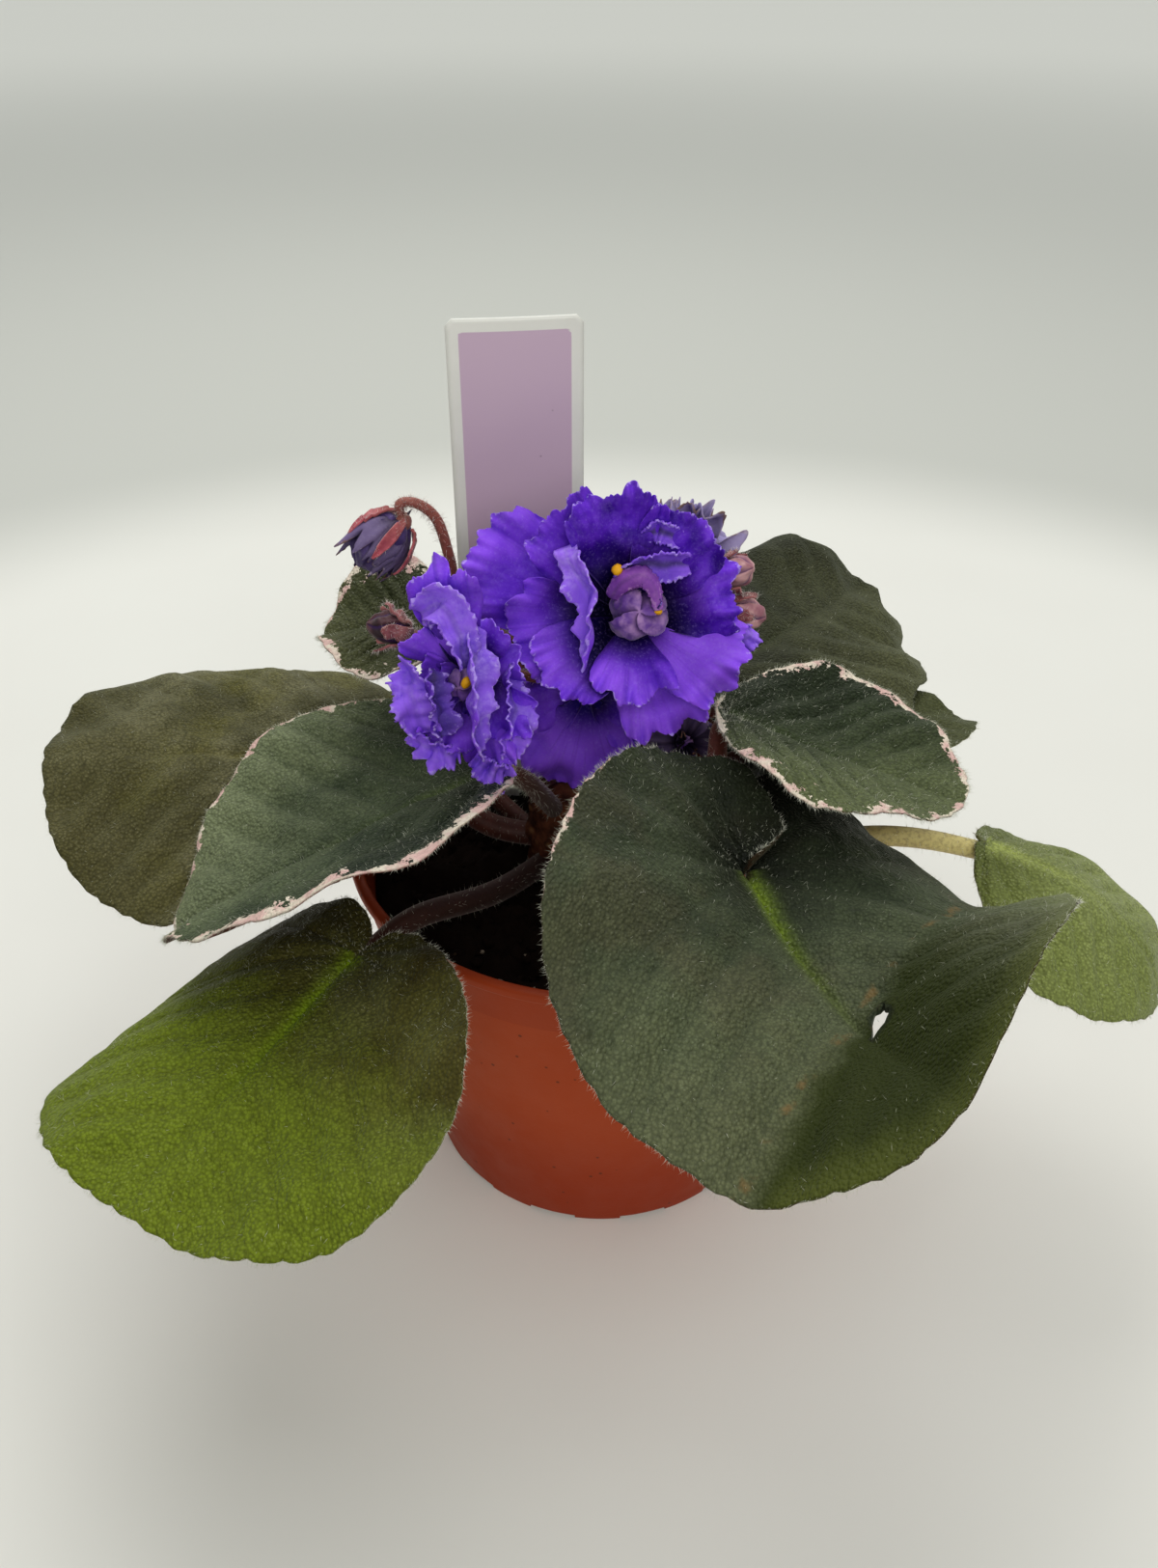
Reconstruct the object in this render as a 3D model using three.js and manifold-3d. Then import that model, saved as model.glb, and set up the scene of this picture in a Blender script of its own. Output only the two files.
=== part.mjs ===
// A potted african violet: plastic pot, peat, a short crown, hairy heart-shaped leaves on long
// petioles, a branched flower stalk with ruffled double blooms and buds, and a plastic plant label.
// Millimetres, +Z up. The origin is the middle of the pot's flat underside.

import * as THREE from 'three';
import { mergeVertices } from 'three/addons/utils/BufferGeometryUtils.js';
import Module from 'manifold-3d';

const wasm = await Module();
wasm.setup();

// Driving dimensions of the pot
const RIM_RADIUS = 51;
const BASE_RADIUS = 37.5;
const POT_HEIGHT = 77;
const WALL = 1.4;
const FLOOR = 2.4;
const COLLAR_HEIGHT = 11.5;
const COLLAR_STEP = 0.5;
const LIP_WIDTH = 2.2;
const LIP_HEIGHT = 2.2;
const EDGE = 0.7;
const POT_SEGMENTS = 40;
const FOOT_COUNT = 12;
const NOTCH_WIDTH = 10;
const NOTCH_HEIGHT = 1.3;
const NOTCH_DEPTH = 4;
const DRAIN_COUNT = 6;
const DRAIN_RADIUS = 3;
const DRAIN_RING = 27;

// Soil, crown, the gap that touching pieces keep and the size of slivers that are merged
const SOIL_TOP = 67;
const SOIL_ROUND = 2.5;
const SOIL_HEAP = 1.4;
const SOIL_SEGMENTS = 26;
const GAP = 0.3;
const SLIVER = 0.05;
const CROWN_AT = new THREE.Vector3(-8, -2, 0);
const CROWN_PROFILE = [[0, 52], [3, 53], [5.2, 60], [6.6, 70], [6.8, 80], [4.8, 86], [0, 88.5]];

// The plant label
const LABEL_WIDTH = 25;
const LABEL_THICKNESS = 0.8;
const LABEL_TOP = 170.5;
const LABEL_CORNER = 1.2;
const LABEL_SHOULDER = 62;
const LABEL_POINT = 44;
const LABEL_AT = [-16.8, 25];
const LABEL_YAW = 9;

// Foliage
const BLADE_THICKNESS = 1;
const BLADE_SPOKES = 27;
const BLADE_RINGS = 3;
const SINUS_GAP = 12;
const SCALLOP = 0.012;
const TIP_CROWDING = 1.25;
const PETIOLE_SIDES = 6;
const PETIOLE_STEPS = 8;
const RIB_STEPS = 24;
const TIP_WIDTH = 0.3;
const SINUS_WIDTH = 0.42;
const CREASE_RADIUS = 8;

// Petals and sepals
const PETAL_THICKNESS = 0.7;
const PETAL_FRILL = 0.025;
const PETAL_SHOULDER = 0.22;
const SEPALS = 5;
const SEPAL_THICKNESS = 0.8;
const SEPAL_RINGS = 2;
const SEPAL_HALF_ANGLE = 26;
const SEPAL_SPREAD = 1.12;
const SEPAL_FROM = 30;
const SEPAL_TO = 112;
const BUD_FLUTE = 0.09;

const PAINT = {
  pot: { color: 0xa8502f, roughness: 0.55 },
  soil: { color: 0x1c1411, roughness: 1 },
  crown: { color: 0x4a2c22, roughness: 0.8 },
  darkLeaf: { color: 0x3c4a38, roughness: 0.7 },
  greenLeaf: { color: 0x5a6f24, roughness: 0.6 },
  oliveLeaf: { color: 0x4c4a34, roughness: 0.7 },
  stalk: { color: 0x7a4038, roughness: 0.7 },
  violet: { color: 0x5a2fc0, roughness: 0.6 },
  fadedViolet: { color: 0x8a7ab0, roughness: 0.7 },
  bud: { color: 0x8a5a70, roughness: 0.7 },
  label: { color: 0xc6b2d6, roughness: 0.4 },
};

const rad = THREE.MathUtils.degToRad;
const clamp = THREE.MathUtils.clamp;
const lerp = THREE.MathUtils.lerp;

// Solids and booleans

function solidOf(geometry) {
  const bare = geometry.clone();
  bare.deleteAttribute('normal');
  bare.deleteAttribute('uv');
  const merged = mergeVertices(bare, 1e-4);
  return new wasm.Manifold(new wasm.Mesh({
    numProp: 3,
    vertProperties: new Float32Array(merged.attributes.position.array),
    triVerts: new Uint32Array(merged.index.array),
  }));
}

function geometryOf(solid) {
  const mesh = solid.getMesh();
  const geometry = new THREE.BufferGeometry();
  geometry.setAttribute('position', new THREE.BufferAttribute(mesh.vertProperties.slice(), 3));
  geometry.setIndex(new THREE.BufferAttribute(mesh.triVerts.slice(), 1));
  geometry.computeVertexNormals();
  return geometry;
}

function joined(solids) {
  return solids.reduce((whole, solid) => whole.add(solid));
}

// The largest connected body of a solid, without the scraps and slivers that a cut leaves.
function mainBody(solid) {
  const bodies = solid.decompose();
  const largest = bodies.reduce((best, body) => (body.volume() > best.volume() ? body : best));
  return largest.asOriginal().simplify(SLIVER);
}

function meshOf(name, solid, paint) {
  const material = new THREE.MeshStandardMaterial({ metalness: 0, ...paint });
  const mesh = new THREE.Mesh(geometryOf(solid), material);
  mesh.name = name;
  return mesh;
}

// A closed lathe solid with its axis along +Z through `centre`.
function turned(profile, segments, centre = new THREE.Vector3()) {
  const points = profile.map(([radius, height]) => new THREE.Vector2(radius, height));
  const geometry = new THREE.LatheGeometry(points, segments);
  geometry.rotateX(Math.PI / 2);
  geometry.translate(centre.x, centre.y, centre.z);
  return solidOf(geometry);
}

function grown(profile, by) {
  return profile.map(([radius, height], index) => {
    const last = index === 0 ? -by : by;
    return radius === 0 ? [0, height + last] : [radius + by, height];
  });
}

function ellipsoid(centre, radii, detail = 1) {
  const geometry = new THREE.IcosahedronGeometry(1, detail);
  geometry.scale(...radii);
  geometry.translate(centre.x, centre.y, centre.z);
  return solidOf(geometry);
}

// A round stem through `points`, its radius running through `radii`, made by bending a cylinder.
function stem(points, radii, sides = PETIOLE_SIDES, steps = PETIOLE_STEPS) {
  const curve = new THREE.CatmullRomCurve3(points);
  const frames = curve.computeFrenetFrames(steps, false);
  const geometry = new THREE.CylinderGeometry(1, 1, 1, sides, steps);
  const position = geometry.attributes.position;
  const vertex = new THREE.Vector3();
  for (let i = 0; i < position.count; i += 1) {
    vertex.fromBufferAttribute(position, i);
    const step = Math.round((vertex.y + 0.5) * steps);
    const along = step / steps;
    const place = along * (radii.length - 1);
    const lower = Math.min(Math.floor(place), radii.length - 2);
    const radius = lerp(radii[lower], radii[lower + 1], place - lower);
    const bent = curve.getPoint(along)
      .addScaledVector(frames.normals[step], vertex.z * radius)
      .addScaledVector(frames.binormals[step], vertex.x * radius);
    position.setXYZ(i, bent.x, bent.y, bent.z);
  }
  return solidOf(geometry);
}

// A thin body on a fan of points: `at(ring, spoke)` gives the middle surface, ring 0 is its foot.
// Both faces are split into the same triangles, half the thickness above and below the middle.
function fanSheet(at, rings, spokes, thickness) {
  const index = (ring, spoke) => (ring === 0 ? 0 : 1 + (ring - 1) * spokes + spoke);
  const points = [at(0, 0)];
  for (let ring = 1; ring <= rings; ring += 1) {
    for (let spoke = 0; spoke < spokes; spoke += 1) points.push(at(ring, spoke));
  }
  const faces = [];
  for (let spoke = 0; spoke < spokes - 1; spoke += 1) {
    faces.push([0, index(1, spoke), index(1, spoke + 1)]);
    for (let ring = 1; ring < rings; ring += 1) {
      const [a, b] = [index(ring, spoke), index(ring, spoke + 1)];
      const [c, d] = [index(ring + 1, spoke), index(ring + 1, spoke + 1)];
      faces.push([a, c, d], [a, d, b]);
    }
  }
  const outwards = [...Array(rings).keys()].map((ring) => index(ring, 0));
  const rim = [...Array(spokes).keys()].map((spoke) => index(rings, spoke));
  const inwards = [...Array(rings - 1).keys()].map((step) => index(rings - 1 - step, spokes - 1));
  return thickened(points, faces, [...outwards, ...rim, ...inwards], thickness);
}

function thickened(points, faces, border, thickness) {
  const middle = new THREE.BufferGeometry().setFromPoints(points);
  middle.setIndex(faces.flat());
  middle.computeVertexNormals();
  const normals = points.map((_, i) => new THREE.Vector3().fromBufferAttribute(middle.attributes.normal, i));
  const shifted = (by) => points.map((point, i) => point.clone().addScaledVector(normals[i], by));
  const count = points.length;
  const shell = faces.flatMap(([a, b, c]) => [[a, b, c], [count + a, count + c, count + b]]);
  border.forEach((a, i) => {
    const b = border[(i + 1) % border.length];
    shell.push([a, count + b, b], [a, count + a, count + b]);
  });
  const geometry = new THREE.BufferGeometry();
  geometry.setFromPoints([...shifted(thickness / 2), ...shifted(-thickness / 2)]);
  geometry.setIndex(shell.flat());
  return solidOf(geometry);
}

// Pot, soil and crown

// Outer radius of the pot's wall, which flares evenly from the base to the rim.
function wallRadius(height) {
  const slope = (RIM_RADIUS - LIP_WIDTH / 2 - BASE_RADIUS) / POT_HEIGHT;
  return BASE_RADIUS + slope * height;
}

function potSolid() {
  const collar = POT_HEIGHT - COLLAR_HEIGHT;
  const lipBottom = POT_HEIGHT - LIP_HEIGHT;
  const profile = [
    [0, 0], [BASE_RADIUS - EDGE, 0], [BASE_RADIUS, EDGE],
    [wallRadius(collar) - COLLAR_STEP, collar], [wallRadius(collar), collar + COLLAR_STEP],
    [wallRadius(lipBottom), lipBottom], [RIM_RADIUS, lipBottom + EDGE], [RIM_RADIUS, POT_HEIGHT - EDGE],
    [RIM_RADIUS - EDGE, POT_HEIGHT], [RIM_RADIUS - LIP_WIDTH, POT_HEIGHT],
    [wallRadius(collar) - WALL, collar], [BASE_RADIUS - WALL, FLOOR + EDGE],
    [BASE_RADIUS - WALL - EDGE, FLOOR], [0, FLOOR],
  ];
  let pot = turned(profile, POT_SEGMENTS);
  for (let i = 0; i < FOOT_COUNT; i += 1) {
    const notch = new THREE.BoxGeometry(NOTCH_DEPTH * 2, NOTCH_WIDTH, NOTCH_HEIGHT * 2);
    notch.translate(BASE_RADIUS, 0, 0);
    notch.rotateZ(rad((360 / FOOT_COUNT) * (i + 0.5)));
    pot = pot.subtract(solidOf(notch));
  }
  for (let i = 0; i < DRAIN_COUNT; i += 1) {
    const drain = new THREE.CylinderGeometry(DRAIN_RADIUS, DRAIN_RADIUS, FLOOR * 4, 10);
    drain.rotateX(Math.PI / 2);
    drain.translate(DRAIN_RING, 0, 0);
    drain.rotateZ(rad((360 / DRAIN_COUNT) * i));
    pot = pot.subtract(solidOf(drain));
  }
  return pot;
}

// The soil fills the pot to a little below the rim and is heaped slightly round the crown.
function soilSolid(crownClear, labelClear) {
  const inner = (height) => wallRadius(height - FLOOR - EDGE) - WALL - 2 * GAP;
  const profile = [
    [0, FLOOR + GAP], [inner(FLOOR) - SOIL_ROUND, FLOOR + GAP],
    [inner(FLOOR + SOIL_ROUND), FLOOR + SOIL_ROUND], [inner(SOIL_TOP - SOIL_ROUND), SOIL_TOP - SOIL_ROUND],
    [inner(SOIL_TOP) - SOIL_ROUND, SOIL_TOP], [RIM_RADIUS / 2, SOIL_TOP + SOIL_HEAP / 2],
    [0, SOIL_TOP + SOIL_HEAP],
  ];
  return turned(profile, SOIL_SEGMENTS).subtract(crownClear).subtract(labelClear);
}

function labelSolid(grow = 0) {
  const half = LABEL_WIDTH / 2 + grow;
  const outline = new THREE.Shape();
  outline.moveTo(0, LABEL_POINT - 2 * grow);
  outline.lineTo(half, LABEL_SHOULDER);
  outline.lineTo(half, LABEL_TOP - LABEL_CORNER);
  outline.lineTo(half - LABEL_CORNER, LABEL_TOP);
  outline.lineTo(LABEL_CORNER - half, LABEL_TOP);
  outline.lineTo(-half, LABEL_TOP - LABEL_CORNER);
  outline.lineTo(-half, LABEL_SHOULDER);
  outline.closePath();
  const depth = LABEL_THICKNESS + 2 * grow;
  const geometry = new THREE.ExtrudeGeometry(outline, { depth, bevelEnabled: false });
  geometry.translate(0, 0, -depth / 2);
  geometry.rotateX(Math.PI / 2);
  geometry.rotateZ(rad(LABEL_YAW));
  geometry.translate(LABEL_AT[0], LABEL_AT[1], 0);
  return solidOf(geometry);
}

// Leaves
// Angles are in degrees. `junction` is where the petiole meets the blade, `heading` the compass
// direction of the midrib and `pitch` its rise there; over the blade's length the midrib swings
// sideways by `swing`, rises by `droop`, and by `flick` more in its outer half. `roll` and `twist`
// turn the blade about the midrib. `fold` is the rise of the left and right half at the base and
// the tip, `curl` how far each half bends on the way to its margin.

const LEAVES = [
  {
    name: 'leaf_front_right', paint: 'darkLeaf', junction: [24, -40.5, 97],
    length: 66, width: 93, lobe: 25, side: 0.99, tip: 0.08, notch: 0.5,
    heading: -69, pitch: -13, swing: 8, droop: 26, flick: -13, roll: -3, twist: 21,
    foldLeft: [9, 23], foldRight: [35, 11], curl: [-55, -10],
    crease: { at: 33, turn: 30, angle: 33 }, wave: 0.5, waves: 7,
    base: { level: 74, radius: 2.7, via: [[0, -15, 91], [13, -30, 98.5]] },
  },
  {
    name: 'leaf_front_left', paint: 'greenLeaf', junction: [-42.5, -43.5, 80],
    length: 58, width: 83, lobe: 9, side: 1.06, tip: -0.04, notch: 0.77,
    heading: -126, pitch: -15, swing: 4, droop: 5, flick: -5, roll: -2, twist: -7,
    foldLeft: [14, 4], foldRight: [5, 13], curl: [14, -73], wave: 0.8, waves: 5,
    base: { level: 72, radius: 2.3, via: [[-20, -18, 74], [-34, -33, 79.5]] },
  },
  {
    name: 'leaf_left_mid', paint: 'darkLeaf', junction: [-18.5, -19, 103],
    length: 64, width: 70, lobe: 3, side: 1.05, tip: 0.1, notch: 0.55,
    heading: -166, pitch: -17.5, swing: 1, droop: -12, flick: -2, roll: 11, twist: -1,
    foldLeft: [6, 20], foldRight: [5, 18], curl: [2, 16], wave: 0.7, waves: 6,
    base: { level: 81, radius: 2.4, via: [[-11.5, -12, 94], [-14, -16, 100.5]] },
  },
  {
    name: 'leaf_left_back', paint: 'oliveLeaf', junction: [-44.5, 5.5, 84],
    length: 71, width: 78, lobe: 3, side: 1.07, tip: -0.03, notch: 0.55,
    heading: 174, pitch: 9.5, swing: 15, droop: -11, flick: 0, roll: -3, twist: -9,
    foldLeft: [-6, -13], foldRight: [24, 2], curl: [-9, -48], wave: 0.6, waves: 6,
    base: { level: 75, radius: 2.4, via: [[-22, -1, 77], [-34, 3, 82.5]] },
  },
  {
    name: 'leaf_back_left_inner', paint: 'darkLeaf', junction: [-34.5, 9, 116],
    length: 19, width: 34, lobe: 5, side: 1.01, tip: 0.08, notch: 0.55,
    heading: 177, pitch: 13, swing: 2, droop: -29, flick: -6, roll: -12, twist: 4,
    foldLeft: [11, 11], foldRight: [18, 7], curl: [-9, 1], wave: 0.7, waves: 5,
    base: { level: 83, radius: 1.7, via: [[-17, 3, 95], [-27, 7, 109]] },
  },
  {
    name: 'leaf_right_mid', paint: 'darkLeaf', junction: [23, -3.5, 105],
    length: 43, width: 55, lobe: 3, side: 1.01, tip: 0.07, notch: 0.3,
    heading: -19, pitch: -11, swing: -4, droop: 2, flick: 10, roll: -14, twist: 1,
    foldLeft: [14, 10], foldRight: [22, 8], curl: [11, -26], wave: 0.8, waves: 6,
    base: { level: 83.5, radius: 2, via: [[5, -8, 89], [19.5, -11.5, 97]] },
  },
  {
    name: 'leaf_back_right', paint: 'oliveLeaf', junction: [23, 25.5, 97],
    length: 68, width: 67, lobe: 20, side: 1.01, tip: 0.08, notch: 0.55,
    heading: 51, pitch: 0, swing: 7, droop: -10, flick: 0, roll: 6, twist: 16,
    foldLeft: [-4, 21], foldRight: [15, 1], curl: [-37, -20], wave: 1.6, waves: 8,
    base: { level: 83, radius: 2.2, via: [[4, 9, 88], [14, 18, 94]] },
  },
  {
    name: 'leaf_right_far', paint: 'oliveLeaf', junction: [35.5, 17, 85.4],
    length: 46, width: 52, lobe: 16, side: 1, tip: -0.02, notch: 0.55,
    heading: 24, pitch: 7, swing: 3, droop: -22, flick: 16, roll: -5, twist: -3,
    foldLeft: [0, 2], foldRight: [8, 14], curl: [-26, -4], wave: 0.8, waves: 5,
    base: { level: 76, radius: 2.2, via: [[11, 7, 78], [25, 13, 83.5]] },
  },
  {
    name: 'leaf_right_low', paint: 'greenLeaf', junction: [75, -8, 79.5],
    length: 46, width: 54, lobe: 2, side: 1, tip: 0.07, notch: 0.55,
    heading: -16, pitch: -7, swing: -11, droop: -50, flick: -6, roll: 5, twist: -5,
    foldLeft: [-22, 2], foldRight: [-5, 2], curl: [-30, -24], wave: 0.5, waves: 5,
    base: { level: 71, radius: 2.2, via: [[20, -5, 74], [54, -8, 81]] },
  },
  {
    name: 'leaf_back', paint: 'oliveLeaf', junction: [6, 36, 82],
    length: 46, width: 50, lobe: 6, side: 1, tip: 0.06, notch: 0.5,
    heading: 98, pitch: -2, swing: 4, droop: -28, flick: 0, roll: 0, twist: 4,
    foldLeft: [8, 6], foldRight: [8, 6], curl: [-20, -20], wave: 0.9, waves: 6,
    base: { level: 73, radius: 2, via: [[-2, 14, 76], [2, 26, 80]] },
  },
  {
    name: 'leaf_back_left_low', paint: 'oliveLeaf', junction: [-41, 24, 81],
    length: 42, width: 46, lobe: 6, side: 1, tip: 0.06, notch: 0.5,
    heading: 150, pitch: -8, swing: -4, droop: -30, flick: 0, roll: 0, twist: -4,
    foldLeft: [8, 6], foldRight: [8, 6], curl: [-20, -20], wave: 0.9, waves: 6,
    base: { level: 70, radius: 2, via: [[-20, 8, 75], [-30, 16, 80.5]] },
  },
];

// Length of the ray at `angle` from the junction to the margin of the flat blade: an ellipse seen
// from the junction, drawn out at the tip and cut in at the sinus.
function marginRay(leaf, angle) {
  const half = (leaf.width / 2) * (angle >= 0 ? 1 : leaf.side);
  const long = (leaf.length + leaf.lobe) / 2;
  const centre = (leaf.length - leaf.lobe) / 2;
  const a = (Math.cos(angle) / long) ** 2 + (Math.sin(angle) / half) ** 2;
  const b = (-2 * Math.cos(angle) * centre) / long ** 2;
  const c = (centre / long) ** 2 - 1;
  const ray = (-b + Math.sqrt(b * b - 4 * a * c)) / (2 * a);
  const drawnOut = 1 + leaf.tip * Math.exp(-((angle / TIP_WIDTH) ** 2));
  const cutIn = 1 - leaf.notch * Math.exp(-(((Math.PI - Math.abs(angle)) / SINUS_WIDTH) ** 2));
  return ray * drawnOut * cutIn;
}

function ribDirection(leaf, along) {
  const u = Math.max(along / leaf.length, -0.2);
  const rise = rad(leaf.pitch + leaf.droop * u + leaf.flick * clamp(u - 0.5, 0, 1));
  const turn = rad(leaf.heading + leaf.swing * u);
  return { rise, turn };
}

// Place and frame of the midrib at a distance from the junction: its tangent, the direction to the
// blade's left, and the blade's upward normal.
function ribFrame(leaf, along) {
  const place = new THREE.Vector3(...leaf.junction);
  for (let i = 0; i < RIB_STEPS; i += 1) {
    const { rise, turn } = ribDirection(leaf, (along * (i + 0.5)) / RIB_STEPS);
    const step = along / RIB_STEPS;
    place.x += step * Math.cos(rise) * Math.cos(turn);
    place.y += step * Math.cos(rise) * Math.sin(turn);
    place.z += step * Math.sin(rise);
  }
  const { rise, turn } = ribDirection(leaf, along);
  const tangent = new THREE.Vector3(
    Math.cos(rise) * Math.cos(turn), Math.cos(rise) * Math.sin(turn), Math.sin(rise));
  const level = new THREE.Vector3(-Math.sin(turn), Math.cos(turn), 0);
  const roll = rad(leaf.roll + leaf.twist * clamp(along / leaf.length, -0.3, 1.2));
  const left = level.applyAxisAngle(tangent, roll);
  const up = new THREE.Vector3().crossVectors(tangent, left);
  return { place, left, up };
}

// Beyond a crease line the blade bends upwards round a small radius.
function creased(leaf, along, across) {
  if (!leaf.crease) return { along, across, lift: 0 };
  const angle = rad(leaf.crease.angle);
  const normal = [Math.cos(rad(leaf.crease.turn)), Math.sin(rad(leaf.crease.turn))];
  const beyond = Math.max((along - leaf.crease.at) * normal[0] + across * normal[1], 0);
  const bent = Math.min(beyond / CREASE_RADIUS, angle);
  const rest = Math.max(beyond - CREASE_RADIUS * angle, 0);
  const kept = CREASE_RADIUS * Math.sin(bent) + rest * Math.cos(angle);
  return {
    along: along - (beyond - kept) * normal[0],
    across: across - (beyond - kept) * normal[1],
    lift: CREASE_RADIUS * (1 - Math.cos(bent)) + rest * Math.sin(angle),
  };
}

// A point of the flat blade, carried to its place: each half leaves the midrib at its fold angle
// and bends at an even rate on the way to the margin.
function bladePoint(leaf, flatAlong, flatAcross, ripple = 0) {
  const { along, across, lift } = creased(leaf, flatAlong, flatAcross);
  const { place, left, up } = ribFrame(leaf, along);
  const isLeft = across >= 0;
  const [base, tip] = isLeft ? leaf.foldLeft : leaf.foldRight;
  const fold = rad(lerp(base, tip, clamp(along / leaf.length, 0, 1)));
  const bend = rad(isLeft ? leaf.curl[0] : leaf.curl[1]) / (leaf.width / 2);
  const far = Math.abs(across);
  const out = (Math.sin(fold + bend * far) - Math.sin(fold)) / bend;
  const high = -(Math.cos(fold + bend * far) - Math.cos(fold)) / bend;
  return place.addScaledVector(left, isLeft ? out : -out).addScaledVector(up, high + lift + ripple);
}

function bladeSolid(leaf) {
  const reach = rad(180 - SINUS_GAP);
  const at = (ring, spoke) => {
    const turn = lerp(-1, 1, spoke / (BLADE_SPOKES - 1));
    const angle = reach * Math.sign(turn) * Math.abs(turn) ** TIP_CROWDING;
    const share = ring / BLADE_RINGS;
    const scallop = ring === BLADE_RINGS ? SCALLOP * (spoke % 2 ? 1 : -1) : 0;
    const ray = marginRay(leaf, angle) * (share + scallop);
    const ripple = leaf.wave * share ** 3 * Math.sin(leaf.waves * angle);
    return bladePoint(leaf, ray * Math.cos(angle), ray * Math.sin(angle), ripple);
  };
  return fanSheet(at, BLADE_RINGS, BLADE_SPOKES, BLADE_THICKNESS);
}

// The petiole leaves the crown, arches to the junction and runs on under the midrib.
function petioleSolid(leaf) {
  const { radius, level, via } = leaf.base;
  const under = (along, depth) => {
    const { place, up } = ribFrame(leaf, along);
    return place.addScaledVector(up, -depth);
  };
  const points = [
    CROWN_AT.clone().setZ(level),
    ...via.map((point) => new THREE.Vector3(...point)),
    under(0, radius * 0.8),
    under(leaf.length * 0.2, radius * 0.45),
    under(leaf.length * 0.42, 0.2),
  ];
  const radii = [radius, radius, radius * 0.95, radius * 0.85, radius * 0.55, 0.35];
  return stem(points, radii);
}

function leafSolid(leaf, crownClear) {
  return mainBody(bladeSolid(leaf).add(petioleSolid(leaf)).subtract(crownClear));
}

// Blooms
// A bloom has a throat at `at` and faces the compass direction `faces` at the height angle `tilt`.
// Each petal is a fan of rays from the throat: `turn` is its direction round the throat, anticlockwise
// from the viewer's right, `spread` its half angle, `reach` its length, `lift` how steeply it leaves
// the face of the bloom at the foot and at the edge, and `roll` tips it to one side.

const OUTER = { spread: 29, lift: [28, 4], ruffle: 1.3, ruffles: 3, rings: 3, spokes: 7 };
const INNER = { spread: 34, lift: [62, 48], ruffle: 1, ruffles: 2.5, rings: 2, spokes: 6 };
const SMALL = { spread: 40, lift: [40, 10], ruffle: 0.9, ruffles: 2.5, rings: 2, spokes: 6 };

const BLOOMS = [
  {
    name: 'bloom_main', paint: 'violet', at: [4.4, -1, 124.4], faces: -88, tilt: 31, core: 3.4,
    petals: [
      { ...OUTER, turn: 158, reach: 29, lift: [20, 2] },
      { ...OUTER, turn: 99, reach: 24.5, spread: 34, lift: [44, 24] },
      { ...OUTER, turn: 129, reach: 24, lift: [36, 18] },
      { ...OUTER, turn: 55, reach: 22.5, spread: 34, lift: [46, 26] },
      { ...OUTER, turn: 12, reach: 21, spread: 34, lift: [42, 14] },
      { ...OUTER, turn: -72, reach: 22, lift: [20, -6] },
      { ...OUTER, turn: -30, reach: 22.5, spread: 34, lift: [38, 6] },
      { ...OUTER, turn: -165, reach: 22.5, spread: 34, lift: [38, 12] },
      { ...OUTER, turn: -132, reach: 21, lift: [42, 20] },
      { ...OUTER, turn: -86, reach: 19, spread: 34, lift: [52, 20] },
      { ...INNER, turn: 30, reach: 12, lift: [72, 60] },
      { ...INNER, turn: 85, reach: 13, lift: [70, 62] },
      { ...INNER, turn: 140, reach: 17, spread: 20, lift: [60, 40], roll: 20 },
    ],
    heart: { at: [1.2, 0.2, 8], radii: [5.6, 5.2, 4.6] },
  },
  {
    name: 'bloom_left', paint: 'violet', at: [-22.9, -16, 120.6], faces: -96, tilt: 20, core: 2.5,
    petals: [
      { ...OUTER, turn: 105, reach: 20, spread: 24, lift: [30, 10] },
      { ...OUTER, turn: 138, reach: 13.5, lift: [40, 12] },
      { ...OUTER, turn: 66, reach: 12, lift: [30, 12] },
      { ...OUTER, turn: 176, reach: 10.5, spread: 34, lift: [46, 20] },
      { ...OUTER, turn: -147, reach: 13, lift: [42, 12] },
      { ...OUTER, turn: -108, reach: 13.5, lift: [38, 8] },
      { ...OUTER, turn: -70, reach: 16, lift: [28, 4] },
      { ...OUTER, turn: -36, reach: 13.5, lift: [30, 16] },
      { ...INNER, turn: 165, reach: 9.5, lift: [66, 50] },
      { ...INNER, turn: -70, reach: 11, lift: [66, 50] },
    ],
    heart: { at: [-1, -1, 4.5], radii: [2.6, 3.2, 2.6] },
  },
  {
    name: 'bloom_low', paint: 'violet', at: [-3, 2.8, 107], faces: -92, tilt: 12, core: 2.4,
    petals: [
      { ...OUTER, turn: -96, reach: 19.5, spread: 46, lift: [16, -2] },
      { ...SMALL, turn: -32, reach: 14, lift: [16, 0] },
      { ...SMALL, turn: -152, reach: 13, lift: [16, 0] },
    ],
  },
  {
    name: 'bloom_back', paint: 'fadedViolet', at: [14.5, 12.5, 133], faces: 60, tilt: 34, core: 2.2,
    petals: [
      { ...SMALL, turn: 95, reach: 9.5 },
      { ...SMALL, turn: 20, reach: 9 },
      { ...SMALL, turn: -50, reach: 8.5 },
      { ...SMALL, turn: 155, reach: 10, lift: [30, 0] },
      { ...SMALL, turn: -120, reach: 9.5, lift: [20, 0] },
    ],
  },
  {
    name: 'bloom_faded', paint: 'fadedViolet', at: [15.8, 1.5, 96.5], faces: -92, tilt: 22, core: 2,
    petals: [
      { ...SMALL, turn: 8, reach: 8 },
      { ...SMALL, turn: 80, reach: 7, lift: [50, 20] },
      { ...SMALL, turn: 170, reach: 7.5 },
      { ...SMALL, turn: -95, reach: 6.5, lift: [50, 30] },
    ],
  },
];

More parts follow.
